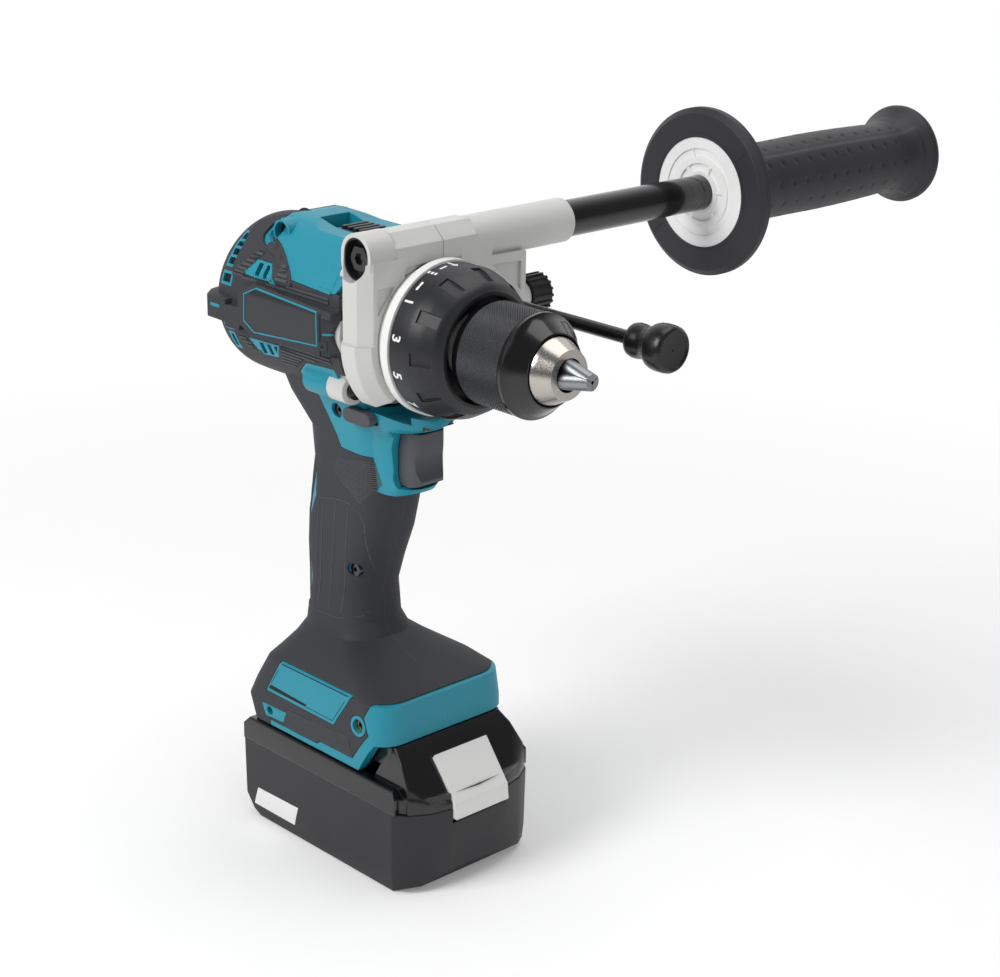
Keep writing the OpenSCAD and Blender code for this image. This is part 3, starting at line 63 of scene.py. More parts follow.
def addNode(tree, kind, links=None, **settings):
    node = tree.nodes.new(kind)
    for key, value in settings.items():
        setattr(node, key, value)
    for key, value in (links or {}).items():
        if isinstance(value, bpy.types.NodeSocket):
            tree.links.new(value, node.inputs[key])
        else:
            node.inputs[key].default_value = value
    return node


def polar(angle, radius, along):
    # a point about the chuck axis, the angle in degrees from the -Y side upwards
    turn = math.radians(angle)
    return Vector((along, -radius * math.cos(turn), axisZ + radius * math.sin(turn)))


def cutAt(bm, place, normal, dist=1e-7, clear=False):
    bmesh.ops.bisect_plane(bm, geom=bm.verts[:] + bm.edges[:] + bm.faces[:], dist=dist, plane_co=place,
                           plane_no=normal, clear_outer=clear)


def secondSkin(bm):
    # copies the flat faces and joins the copy to them all round
    grown = bmesh.ops.extrude_face_region(bm, geom=bm.faces[:], use_keep_orig=True)
    return {g for g in grown["geom"] if isinstance(g, bmesh.types.BMVert)}


def turnRound(bm, points, centre, axis, steps):
    # spins a line of points once round an axis
    verts = [bm.verts.new(p) for p in points]
    edges = [bm.edges.new(pair) for pair in zip(verts, verts[1:])]
    bmesh.ops.spin(bm, geom=verts + edges, cent=centre, axis=axis, angle=2 * math.pi, steps=steps,
                   use_merge=True)


def handlePoint(r, y):
    # a point at a radius from the side handle's axis
    return handleX + r * mm, y * mm, handleZ


def finishPiece(name, bm, material, body, angle=35, outward=False):
    bmesh.ops.remove_doubles(bm, verts=bm.verts, dist=1e-6)
    if outward:
        bmesh.ops.recalc_face_normals(bm, faces=bm.faces)
    mesh = bpy.data.meshes.new(name)
    bm.to_mesh(mesh)
    bm.free()
    mesh.materials.append(material)
    piece = bpy.data.objects.new(name, mesh)
    bpy.context.scene.collection.objects.link(piece)
    mesh.shade_smooth()
    mesh.set_sharp_from_angle(angle=math.radians(angle))
    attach(piece, body)
    return piece


def mouldedFinish(name, look):
    # moulded, cast or ground surface: drift of shade, a painted highlight on the edges and a fine grain
    material = bpy.data.materials.new(name)
    material.use_nodes = True
    tree = material.node_tree
    tree.nodes.clear()
    place = addNode(tree, "ShaderNodeTexCoord").outputs["Object"]
    soft = addNode(tree, "ShaderNodeBevel", {"Radius": look["edge"] * mm}, samples=4)
    sharp = addNode(tree, "ShaderNodeNewGeometry")
    # slow change of shade over a large moulding
    cloud = addNode(tree, "ShaderNodeTexNoise", {"Vector": place, "Scale": 1 / (look["drift"] * mm),
                                                 "Detail": 2.0})
    shade = addNode(tree, "ShaderNodeMix", {0: cloud.outputs["Fac"], 6: toLinear(look["colour"]),
                                            7: toLinear(look["tint"])}, data_type="RGBA")
    # painted highlight: the edges are painted a little lighter
    turned = addNode(tree, "ShaderNodeVectorMath", {0: soft.outputs[0], 1: sharp.outputs["Normal"]},
                     operation="DOT_PRODUCT")
    edgeHighlightAmount = addNode(tree, "ShaderNodeMapRange", {"Value": turned.outputs["Value"], 1: 0.995, 2: 0.86,
                                               3: 0.0, 4: look["edgeHighlightAmount"]})
    edgeHighlight = addNode(tree, "ShaderNodeMix", {0: edgeHighlightAmount.outputs[0], 6: shade.outputs[2], 7: toLinear(look["edgeHighlight"])},
                   data_type="RGBA")
    # spark-eroded grain of the mould
    grain = addNode(tree, "ShaderNodeTexNoise", {"Vector": place, "Scale": 1 / (look["grain"] * mm),
                                                 "Detail": 2.0, "Roughness": 0.6})
    dull, spread = look["rough"], look["spread"]
    rough = addNode(tree, "ShaderNodeMapRange", {"Value": grain.outputs["Fac"], 1: 0.3, 2: 0.7,
                                                 3: dull - spread, 4: dull + spread})
    bump = addNode(tree, "ShaderNodeBump", {"Strength": look["bump"], "Distance": look["deep"] * mm,
                                            "Height": grain.outputs["Fac"], "Normal": soft.outputs[0]})
    shader = addNode(tree, "ShaderNodeBsdfPrincipled", {
        "Base Color": edgeHighlight.outputs[2], "Roughness": rough.outputs[0], "Normal": bump.outputs[0],
        "IOR": look["ior"], "Metallic": look.get("metal", 0.0), "Coat Weight": look.get("coat", 0.0),
        "Coat Roughness": look.get("coatRough", 0.05), "Sheen Weight": look.get("sheen", 0.0),
        "Specular IOR Level": look.get("specular", 0.5)})
    addNode(tree, "ShaderNodeOutputMaterial", {"Surface": shader.outputs[0]})
    return material


# every finish also sets the strength and colour of a painted highlight on its edges
base = {"drift": 30, "edge": 0.4, "edgeHighlightAmount": 0.3, "grain": 0.5, "rough": 0.5, "spread": 0.06, "bump": 0.5,
        "deep": 0.03, "ior": 1.5}

# glass-filled nylon, dyed teal, satin from a spark-eroded mould
tealNylon = mouldedFinish("tealNylon", {**base, "colour": "#118aa1", "tint": "#1794aa", "edgeHighlight": "#58bccb",
                                        "rough": 0.42, "edge": 0.5})
# soft thermoplastic elastomer, matt, with a grey painted highlight on its edges
softGrip = mouldedFinish("softGrip", {**base, "colour": "#35363a", "tint": "#3d3e43", "edgeHighlight": "#66686d",
                                      "rough": 0.62, "bump": 0.8, "deep": 0.05, "specular": 0.35,
                                      "edge": 0.5})
# elastomer ribs of the grip rubber, painted a shade lighter as a painted highlight, more so on their edges
ribGrip = mouldedFinish("ribGrip", {**base, "colour": "#414348", "tint": "#4a4c51", "edgeHighlight": "#75787d",
                                    "rough": 0.6, "edge": 0.12, "edgeHighlightAmount": 0.5})
# black ABS of switches and the torque ring, satin
blackAbs = mouldedFinish("blackAbs", {**base, "colour": "#1b1c1f", "tint": "#222327", "edgeHighlight": "#505258",
                                      "rough": 0.4, "edge": 0.45})
# trigger and buttons, grey ABS with a fine eroded grain
greyAbs = mouldedFinish("greyAbs", {**base, "colour": "#44454b", "tint": "#4d4f55", "edgeHighlight": "#6f7278",
                                    "rough": 0.5, "edge": 0.8})
# battery case, black polycarbonate blend
batteryAbs = mouldedFinish("batteryAbs", {**base, "colour": "#202024", "tint": "#26262a", "edgeHighlight": "#55565b",
                                          "rough": 0.4, "edge": 0.9})
# battery top, polished polycarbonate blend
glossyAbs = mouldedFinish("glossyAbs", {**base, "colour": "#0b0c0e", "tint": "#101114", "edgeHighlight": "#303136",
                                        "rough": 0.16, "spread": 0.03, "bump": 0.1, "edge": 1.2, "coat": 0.5})
# end piece and knob of the depth rod, polished black nylon
rodPlastic = mouldedFinish("rodPlastic", {**base, "colour": "#141416", "tint": "#19191c", "edgeHighlight": "#3c3d42",
                                          "rough": 0.28, "spread": 0.03, "bump": 0.2, "edge": 0.6})
# side grip, black polypropylene
handAbs = mouldedFinish("handAbs", {**base, "colour": "#27272b", "tint": "#2f2f34", "edgeHighlight": "#5f6066",
                                    "rough": 0.5, "edge": 0.6})
# white acetal of the hub, the release button and the index ring
whiteAcetal = mouldedFinish("whiteAcetal", {**base, "colour": "#eeeeec", "tint": "#f4f4f3", "edgeHighlight": "#ffffff",
                                            "rough": 0.35, "edge": 0.5})
# the same white acetal on the hub, painted lighter all over as a painted highlight
litHubAcetal = mouldedFinish("litHubAcetal", {**base, "colour": "#f8f8f7", "tint": "#fdfdfc", "edgeHighlight": "#ffffff",
                                        "rough": 0.4, "edge": 0.2})
# cast aluminium under silver-white powder paint
silverPaint = mouldedFinish("silverPaint", {**base, "colour": "#cfcfcc", "tint": "#d8d8d5", "edgeHighlight": "#f3f3f1",
                                            "rough": 0.4, "spread": 0.1, "grain": 0.45, "bump": 0.7,
                                            "edge": 0.8, "coat": 0.2, "coatRough": 0.3})
# blackened and polished steel of the tube and the chuck sleeve
blackSteel = mouldedFinish("blackSteel", {**base, "colour": "#0b0b0d", "tint": "#101013", "edgeHighlight": "#3c3d41",
                                          "rough": 0.2, "spread": 0.04, "bump": 0.15, "edge": 0.3,
                                          "coat": 0.4})
knurlSteel = mouldedFinish("knurlSteel", {**base, "colour": "#26272a", "tint": "#303134", "edgeHighlight": "#7d7f83",
                                          "rough": 0.34, "edge": 0.12, "edgeHighlightAmount": 0.6, "metal": 0.4})
# ground steel of the chuck nose and jaws
groundSteel = mouldedFinish("groundSteel", {**base, "colour": "#b5afa9", "tint": "#c9c4be", "edgeHighlight": "#e9e5df",
                                            "rough": 0.24, "spread": 0.05, "bump": 0.2, "edge": 0.25,
                                            "metal": 1.0})
jawSteel = mouldedFinish("jawSteel", {**base, "colour": "#8e9195", "tint": "#a2a5a9", "edgeHighlight": "#c9cbce",
                                      "rough": 0.34, "spread": 0.06, "edge": 0.2, "metal": 1.0})
# plain zinc-plated or sintered inner parts
innerSteel = mouldedFinish("innerSteel", {**base, "colour": "#85888c", "tint": "#94979b", "edgeHighlight": "#b5b8bb",
                                          "rough": 0.38, "metal": 1.0})
brassPlate = mouldedFinish("brassPlate", {**base, "colour": "#b39a5c", "tint": "#c2a968", "edgeHighlight": "#ddc98c",
                                          "rough": 0.32, "metal": 1.0})
copperWire = mouldedFinish("copperWire", {**base, "colour": "#a9592c", "tint": "#bd6a38", "edgeHighlight": "#d08654",
                                          "rough": 0.3, "metal": 1.0})
cellWrap = mouldedFinish("cellWrap", {**base, "colour": "#3f7d4e", "tint": "#4b8b59", "edgeHighlight": "#7db089",
                                      "rough": 0.4})
boardLacquer = mouldedFinish("boardLacquer", {**base, "colour": "#1f5a3a", "tint": "#2a6a46",
                                              "edgeHighlight": "#7aa287", "rough": 0.3})
# red button of the charge gauge
redAbs = mouldedFinish("redAbs", {**base, "colour": "#a8332c", "tint": "#b23b33", "edgeHighlight": "#cf7068",
                                  "rough": 0.4})
# printed ink and thin foils
whiteInk = mouldedFinish("whiteInk", {**base, "colour": "#f2f2f2", "tint": "#fafafa", "edgeHighlight": "#ffffff",
                                      "rough": 0.55, "edge": 0.05})
labelFoil = mouldedFinish("labelFoil", {**base, "colour": "#26272c", "tint": "#2c2d33", "edgeHighlight": "#45474d",
                                        "rough": 0.3, "spread": 0.03, "edge": 0.1, "bump": 0.15})
deepShadow = mouldedFinish("deepShadow", {**base, "colour": "#0c0c0e", "tint": "#101013", "edgeHighlight": "#1c1c20",
                                          "rough": 0.7, "edge": 0.05})
# painted shade at the bottoms of the grooves between ribs
ribShadow = mouldedFinish("ribShadow", {**base, "colour": "#1d1e21", "tint": "#232427", "edgeHighlight": "#2c2d31",
                                        "rough": 0.8, "edge": 0.05})
lampChip = mouldedFinish("lampChip", {**base, "colour": "#e6d65a", "tint": "#efe06a", "edgeHighlight": "#f7ef9e",
                                      "rough": 0.35, "edge": 0.1})
print("finishes made:", len(bpy.data.materials))


def lensFinish():
    # clear polycarbonate window, a little hazed
    material = bpy.data.materials.new("clearPolycarbonate")
    material.use_nodes = True
    tree = material.node_tree
    tree.nodes.clear()
    place = addNode(tree, "ShaderNodeTexCoord").outputs["Object"]
    haze = addNode(tree, "ShaderNodeTexNoise", {"Vector": place, "Scale": 900.0, "Detail": 2.0})
    rough = addNode(tree, "ShaderNodeMapRange", {"Value": haze.outputs["Fac"], 3: 0.02, 4: 0.14})
    shader = addNode(tree, "ShaderNodeBsdfPrincipled", {
        "Base Color": toLinear("#f6faf8"), "Roughness": rough.outputs[0], "IOR": 1.58,
        "Transmission Weight": 1.0})
    addNode(tree, "ShaderNodeOutputMaterial", {"Surface": shader.outputs[0]})
    return material


clearWindow = lensFinish()

finishOf = {
    tealNylon: ["housing_right", "housing_left", "rear_cover"],
    softGrip: ["rubber_right", "rubber_left", "rear_cover_rubber"],
    silverPaint: ["gear_case", "clamp_near", "clamp_far"],
    whiteAcetal: ["index_ring", "guard_hub", "battery_release"],
    blackAbs: ["torque_ring", "speed_slider", "switch_body", "terminal_block", "fan", "clamp_liner",
               "depth_rod_end", "depth_knob", "charge_gauge"],
    greyAbs: ["trigger", "direction_button"],
    handAbs: ["hand_guard"],
    blackSteel: ["handle_tube", "depth_rod", "clamp_bolt", "gear_case_screws", "housing_screws",
                 "chuck_sleeve"],
    groundSteel: ["chuck_body"],
    jawSteel: ["jaw_1", "jaw_2", "jaw_3"],
    innerSteel: ["stator", "rotor", "motor_shaft", "ball_bearings", "ring_gears", "carrier_a", "planet_a1",
                 "planet_a2", "planet_a3", "spindle", "planet_b1", "planet_b2", "planet_b3", "chuck_nut",
                 "chuck_screw"],
    brassPlate: ["belt_hook_nuts", "terminal_blades"],
    copperWire: ["windings"],
    boardLacquer: ["control_board", "battery_board"],
    cellWrap: ["battery_cells"],
    batteryAbs: ["battery_lower"],
    glossyAbs: ["battery_upper"],
    clearWindow: ["led_lens"],
    redAbs: ["check_button"],
}


def smoothShading():
    # CAD meshes are loose triangles: weld them, then round the shading except over real edges
    group = bpy.data.node_groups.new("smoothShading", "GeometryNodeTree")
    group.interface.new_socket("Geometry", in_out="INPUT", socket_type="NodeSocketGeometry")
    group.interface.new_socket("Geometry", in_out="OUTPUT", socket_type="NodeSocketGeometry")
    start = addNode(group, "NodeGroupInput")
    weld = addNode(group, "GeometryNodeMergeByDistance",
                   {"Geometry": start.outputs[0], "Distance": 0.005 * mm})
    allSmooth = addNode(group, "GeometryNodeSetShadeSmooth",
                        {"Geometry": weld.outputs[0], "Shade Smooth": True})
    bend = addNode(group, "GeometryNodeInputMeshEdgeAngle")
    isEdge = addNode(group, "FunctionNodeCompare", {0: bend.outputs[0], 1: math.radians(30)},
                     operation="GREATER_THAN")
    keepEdges = addNode(group, "GeometryNodeSetShadeSmooth",
                        {"Geometry": allSmooth.outputs[0], "Selection": isEdge.outputs[0],
                         "Shade Smooth": False}, domain="EDGE")
    addNode(group, "NodeGroupOutput", {0: keepEdges.outputs[0]})
    return group


shading = smoothShading()
for material, names in finishOf.items():
    for name in names:
        cadNode = nodes[name]
        for slot in cadNode.material_slots:
            slot.material = material
        cadNode.modifiers.new("smoothShading", "NODES").node_group = shading
unfinished = set(nodes) - {n for names in finishOf.values() for n in names} - {"side_grip"}
print("CAD nodes without a finish:", sorted(unfinished))


class Ground:
    # outer surface of some CAD nodes, felt from one side
    def __init__(self, names):
        bm = bmesh.new()
        for name in names:
            bm.from_mesh(nodes[name].data)
        self.tree = BVHTree.FromBMesh(bm)
        bm.free()

    def depth(self, x, z, side):
        hit = self.tree.ray_cast(Vector((x, side * 0.2, z)), Vector((0, -side, 0)))[0]
        return hit.y if hit else None


def outlineFace(bm, outline):
    corners = [bm.verts.new((x * mm, 0, z * mm)) for x, z in outline]
    return bm.faces.new(corners)


def cutUp(bm, step):
    # extra vertices so that a flat plate can follow a curved ground
    for axis in (Vector((1, 0, 0)), Vector((0, 0, 1))):
        spread = [v.co.dot(axis) for v in bm.verts]
        place = min(spread) + step * mm
        while place < max(spread):
            cutAt(bm, axis * place, axis)
            place += step * mm


def layOn(bm, ground, side, high, sunk):
    # gives the flat faces a thickness and moves them onto the ground
    top = secondSkin(bm)
    lost = []
    for v in bm.verts:
        y = ground.depth(v.co.x, v.co.z, side)
        if y is None:
            lost.append(v)
        else:
            v.co.y = y + side * (high if v in top else -sunk) * mm
    bmesh.ops.delete(bm, geom=lost, context="VERTS")


def plate(name, outlines, ground, side, material, look, body="housing"):
    bm = bmesh.new()
    for outline in outlines:
        face = outlineFace(bm, outline)
        if look.get("line"):
            face.normal_update()
            bmesh.ops.inset_region(bm, faces=[face], thickness=look["line"] * mm,
                                   use_even_offset=True, use_boundary=True)
            bmesh.ops.delete(bm, geom=[face], context="FACES")
    cutUp(bm, look["step"])
    layOn(bm, ground, side, look["high"], look["sunk"])
    finishPiece(name, bm, material, body, outward=True)


def rectangle(u0, w0, u1, w1):
    return [(u0, w0), (u1, w0), (u1, w1), (u0, w1)]


def hatch(outline, pitch, thick):
    # level strips that fill an outline
    strips = []
    lowest, highest = min(z for x, z in outline), max(z for x, z in outline)
    level = lowest + pitch / 2
    while level < highest:
        cuts = []
        for (xa, za), (xb, zb) in zip(outline, outline[1:] + outline[:1]):
            if (za > level) != (zb > level):
                cuts.append(xa + (xb - xa) * (level - za) / (zb - za))
        cuts.sort()
        for x0, x1 in zip(cuts[::2], cuts[1::2]):
            if x1 - x0 > 2 * thick:
                strips.append(rectangle(x0, level - thick / 2, x1, level + thick / 2))
        level += pitch
    return strips


up = axisZ / mm
shell = Ground(["housing_right", "housing_left", "rubber_right", "rubber_left"])
caseSide = Ground(["battery_lower"])

# plates laid on the sides of the housing: outlines along X and up, in mm
labelLook = {"high": 0.12, "sunk": 0.3, "step": 1.2}
labelEdge = {"high": 0.35, "sunk": 0.1, "step": 1.2, "line": 0.6}
labelOutline = [(-42.6, up + 8.3), (-35.7, up + 11.7), (4.1, up + 10.1), (4.6, up - 4.0), (-36.3, up - 7.0),
                (-43.0, up - 3.3)]

barrelRibs = {"high": 0.34, "sunk": 0.3, "step": 40, "pitch": 1.6, "thick": 0.95}
ribFields = [
    [(-44.5, up + 24.3), (-40.7, up + 24.0), (-49.5, up + 12.8), (-56, up + 13.6)],
    [(-52.8, up + 14.1), (5.8, up + 15.0), (5.8, up + 12.2), (-25.2, up + 12.2), (-48.6, up + 12.7)],
    [(-26, up - 9.2), (6, up - 9.0), (6, up - 12.4), (-12.7, up - 14.2), (-22.6, up - 20.6),
     (-29.6, up - 20.6)],
    [(-55, up - 12.9), (-49.6, up - 13.1), (-41.3, up - 18.9), (-49.8, up - 16.9)],
]
gripQuad = [(-12.8, 164.5), (-9.1, 170.3), (10.9, 173.4), (14.1, 163.7), (4.0, 153.8)]
gripRibs = {"high": 0.18, "sunk": 0.4, "step": 4, "pitch": 0.95, "thick": 0.5}
fineLine = {"high": 0.1, "sunk": 0.3, "step": 5, "line": 0.35}
gripPanel = [(-27.5, 97.5), (-9.6, 98.6), (-1.3, 100.6), (1.4, 104), (2.6, 118), (5, 145), (2.8, 150),
             (-3, 152.5), (-8, 152.5), (-22, 150)]
gripLines = [[(-17.1, 100), (-16.7, 100), (-10.6, 151), (-11, 151)],
             [(-9.4, 101), (-9, 101), (-2.6, 150.5), (-3, 150.5)],
             [(-24, 99), (-23.6, 99), (-19, 148), (-19.4, 148)]]
footRibs = [(-20.2, 58.6), (8.9, 60), (19.4, 61), (22.4, 52.4), (1, 52.4), (-1.6, 50.4), (-23.1, 50.4)]
footSlot = [(-32.9, 65.0), (-31.9, 66.6), (-7.4, 65.6), (-8.6, 64.4)]
footFrame = [(-33.4, 64.6), (-25.2, 78.2), (18.8, 78.2), (9.6, 64.2)]
sides = ((-1, "Right"), (1, "Left"))
barrelStrips = [s for field in ribFields for s in hatch(field, barrelRibs["pitch"], barrelRibs["thick"])]
gripStrips = hatch(gripQuad, gripRibs["pitch"], gripRibs["thick"])
footStrips = hatch(footRibs, gripRibs["pitch"], gripRibs["thick"])
for side, tag in sides:
    plate("labelFoil" + tag, [labelOutline], shell, side, labelFoil, labelLook)
    plate("labelEdge" + tag, [labelOutline], shell, side, tealNylon, labelEdge)
    # painted shade in the grooves under the ribs
    plate("ribGrooveShade" + tag, ribFields, shell, side, ribShadow, {**barrelRibs, "high": 0.08, "step": 2})
    plate("barrelRibs" + tag, barrelStrips, shell, side, ribGrip, barrelRibs)
    plate("gripRibs" + tag, gripStrips, shell, side, ribGrip, gripRibs)
    plate("gripPanelLine" + tag, [gripPanel], shell, side, ribGrip, fineLine)
    plate("gripLines" + tag, gripLines, shell, side, ribGrip, {**fineLine, "line": 0})
    plate("footRibs" + tag, footStrips, shell, side, ribGrip, gripRibs)
    plate("footSlot" + tag, [footSlot], shell, side, deepShadow, {**fineLine, "line": 0, "high": 0.04})
    plate("footFrame" + tag, [footFrame], shell, side, deepShadow, {**fineLine, "line": 0.3, "high": 0.03})
print("plates and ribs laid on the housing")


def rearDome():
    # rubber skin with teal-framed cooling slots
    # slots: angle from the band, reach along X; a long slot is crossed by bars
    look = {"joint": -56, "radius": 33.9, "long": 21, "bulge": 3.6, "round": 2.1, "deep": 1.4, "frame": 1,
            "rings": 60, "pole": 0.05, "tuck": [(0.5, 0.9), (0, 0.3)], "barWide": 2,
            "slots": [(28, 54, -63.2, -58.6, (33, 40, 46)), (15, 21, -63.6, -58.0, ()),
                      (-17, -11, -62.4, -57.6, ()), (-34, -23, -60.4, -58.2, ())]}

    def radiusAt(x):
        part = min(1, max(0, (look["joint"] - x) / look["long"]))
        return look["radius"] * (1 - part ** look["bulge"]) ** (1 / look["round"])

    bm = bmesh.new()
    rows = [(look["joint"] + ahead, look["radius"] - under) for ahead, under in look["tuck"]]
    for k in range(1, look["rings"] + 1):
        x = look["joint"] - look["long"] * math.sin(math.pi / 2 * k / look["rings"])
        rows.append((x, max(radiusAt(x), look["pole"])))
    turnRound(bm, [polar(0, r * mm, x * mm) for x, r in rows], polar(0, 0, 0), (1, 0, 0), 360)
    faces = []
    for face in bm.faces:
        middle = face.calc_center_median()
        angle = math.floor(math.degrees(math.atan2(middle.z - axisZ, -middle.y)))
        faces.append((middle.x / mm, angle, face))
    wide = look["frame"]
    for low, high, rear, front, bars in look["slots"]:
        for mirrored in (False, True):
            opened = []
            for x, angle, face in faces:
                turn = 179 - angle if mirrored else angle
                turn = turn - 360 if turn > 180 else turn
                if low - 2 * wide <= turn < high + 2 * wide and rear - wide < x < front + wide:
                    face.material_index = 1
                    onBar = any(bar <= turn < bar + look["barWide"] for bar in bars)
                    if low <= turn < high and rear < x < front and not onBar:
                        opened.append(face)
            pushed = bmesh.ops.extrude_face_region(bm, geom=opened)
            floor = [g for g in pushed["geom"] if isinstance(g, bmesh.types.BMFace)]
            for v in {v for f in floor for v in f.verts}:
                away = Vector((0, v.co.y, v.co.z - axisZ)).normalized()
                v.co -= away * look["deep"] * mm
            for f in floor:
                f.material_index = 2
            bmesh.ops.delete(bm, geom=opened, context="FACES")
    piece = finishPiece("rearDome", bm, softGrip, "housing", angle=40, outward=True)
    piece.data.materials.append(tealNylon)
    piece.data.materials.append(deepShadow)
    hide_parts("rear_cover_rubber")


def rearBand():
    # rear end of the side band, which runs round the dome, and its teal slots
    look = {"plan": [(-55.9, -37.4), (-68.5, -37.0), (-73.8, -31), (-75.4, -25), (-75.4, 25), (-73.8, 31),
                     (-68.5, 37.0), (-55.9, 37.4)], "low": -6.6, "high": 3.2, "edge": 0.5,
            "slot": (6.0, 0.3, 1.4), "slotAt": (-62.6, 37.22, -0.6)}
    bm = bmesh.new()
    bm.faces.new([bm.verts.new((x * mm, y * mm, axisZ + look["low"] * mm)) for x, y in look["plan"]])
    bmesh.ops.translate(bm, verts=list(secondSkin(bm)), vec=(0, 0, (look["high"] - look["low"]) * mm))
    bmesh.ops.recalc_face_normals(bm, faces=bm.faces)
    bmesh.ops.bevel(bm, geom=bm.edges[:], offset=look["edge"] * mm, offset_type="OFFSET", segments=2,
                    profile=0.5, affect="EDGES", material=-1)
    finishPiece("rearBand", bm, softGrip, "housing", outward=True)
    x, y, z = look["slotAt"]
    for side, tag in sides:
        slot = bmesh.new()
        bmesh.ops.create_cube(slot, size=mm, matrix=Matrix.Diagonal((*look["slot"], 1)))
        bmesh.ops.translate(slot, verts=slot.verts, vec=(x * mm, side * y * mm, axisZ + z * mm))
        finishPiece("rearBandSlot" + tag, slot, tealNylon, "housing")


rearDome()
rearBand()


def frontEdge(name, turns, material, reach):
    # carries the skin of the housing forward, over a span of angles about the chuck axis
    look = {"from": 5.9, "feel": 5.6, "lip": 0.4, "deep": 1.3, "least": 30, "every": 2}
    bm = bmesh.new()
    rings = []
    for turn in range(turns[0], turns[1] + 1, look["every"]):
        start = polar(turn, 60 * mm, look["feel"] * mm)
        inward = (polar(turn, 0, look["feel"] * mm) - start).normalized()
        hit = shell.tree.ray_cast(start, inward)[0]
        radius = math.hypot(hit.y, hit.z - axisZ) if hit else 0
        if radius < look["least"] * mm:
            rings.append(None)          # the speed slider's window is open here
            continue
        end = reach(turn)
        rings.append([bm.verts.new(polar(turn, r, x * mm)) for x, r in (
            (look["from"], radius), (end - look["lip"], radius), (end, radius - look["lip"] * mm),
            (end, radius - look["deep"] * mm))])
    for a, b in zip(rings, rings[1:]):
        if a and b:
            for k in range(3):
                bm.faces.new((a[k], a[k + 1], b[k + 1], b[k]))
    finishPiece(name, bm, material, "housing", angle=30)


def bandNose():
    # front end of the side band: tapers to the clamp and is notched in a V
    look = {"outline": [(5.7, 10.6), (12.1, 10.6), (12.1, 7.2), (9.0, 1.8), (9.0, -0.6), (12.1, -6.2),
                        (12.1, -8.2), (5.7, -7.4)], "front": 12.1, "outer": 37.4, "bendAt": 6.4, "tip": 32.2,
            "inner": 30, "sunk": 1}
    marks = [("noseSlot", tealNylon, (6.9, 0.8, 9.6, 1.7), 0.15),
             ("nosePad", softGrip, (5.4, -5.4, 8.4, -1.8), 0.7),
             ("nosePin", deepShadow, (6.7, -3.9, 7.3, -3.3), 0.8)]

    def outerAt(x):
        part = max(0, (x - look["bendAt"]) / (look["front"] - look["bendAt"]))
        return look["outer"] + part * (look["tip"] - look["outer"])

    for side, tag in sides:
        bm = bmesh.new()
        outlineFace(bm, [(x, up + z) for x, z in look["outline"]])
        cutAt(bm, (look["bendAt"] * mm, 0, 0), (1, 0, 0))
        outer = secondSkin(bm)
        for v in bm.verts:
            v.co.y = side * (outerAt(v.co.x / mm) if v in outer else look["inner"]) * mm
        finishPiece("bandNose" + tag, bm, softGrip, "housing", outward=True)
        for name, material, corners, out in marks:
            bm = bmesh.new()
            outlineFace(bm, [(x, up + z) for x, z in rectangle(*corners)])
            outer = secondSkin(bm)
            for v in bm.verts:
                v.co.y = side * (outerAt(v.co.x / mm) + (out if v in outer else -look["sunk"])) * mm
            finishPiece(name + tag, bm, material, "housing", outward=True)


def tealReach(turn):
    # the teal edge reaches furthest over the top and steps back beside the lugs
    look = {"start": 26, "short": 8.4, "gain": 2.9, "over": 12}
    return look["short"] + look["gain"] * min(1, (min(turn, 180 - turn) - look["start"]) / look["over"])


def rubberReach(turn):
    return 12.0


frontEdge("frontEdgeTeal", (26, 154), tealNylon, tealReach)
rubberEdges = {"Right": (12, 28), "RightLow": (-28, -12), "Left": (152, 168), "LeftLow": (192, 208)}
for tag, turns in rubberEdges.items():
    frontEdge("frontEdgeRubber" + tag, turns, softGrip, rubberReach)
bandNose()


def bossRing():
    # ring of the rear screw boss, with the rubber that wraps it
    look = {"x": -38.4, "z": 31.6, "web": (-43.4, 30.8, 7.8), "skin": 34.9, "inner": 4}
    # radius, and how far out from the mid-plane
    ringProfile = [(4.4, 17.5), (4.4, 21), (5.3, 21), (5.3, 6)]
    floorProfile = [(0, 17.6), (4.5, 17.6)]
    for name, material, profile in (("bossRing", tealNylon, ringProfile),
                                    ("bossFloor", deepShadow, floorProfile)):
        bm = bmesh.new()
        turnRound(bm, [(r * mm, -y * mm, 0) for r, y in profile], (0, 0, 0), (0, 1, 0), 64)
        bmesh.ops.translate(bm, verts=bm.verts, vec=(look["x"] * mm, 0, axisZ + look["z"] * mm))
        finishPiece(name, bm, material, "housing", angle=40, outward=True)
    # rubber web between the ring and the barrel, flush with the skin
    x, z, radius = look["web"]
    bm = bmesh.new()
    bmesh.ops.create_circle(bm, cap_ends=True, radius=radius * mm, segments=48,
                            matrix=Matrix.Rotation(math.radians(90), 4, "X"))
    cutUp(bm, 1)
    outer = secondSkin(bm)
    for v in bm.verts:
        rise = v.co.z / mm + z
        skin = math.sqrt(max(look["inner"] ** 2, look["skin"] ** 2 - rise ** 2))
        out = skin if v in outer else look["inner"]
        v.co = Vector((x * mm + v.co.x, -out * mm, axisZ + rise * mm))
    finishPiece("bossWeb", bm, softGrip, "housing", angle=50, outward=True)


bossRing()

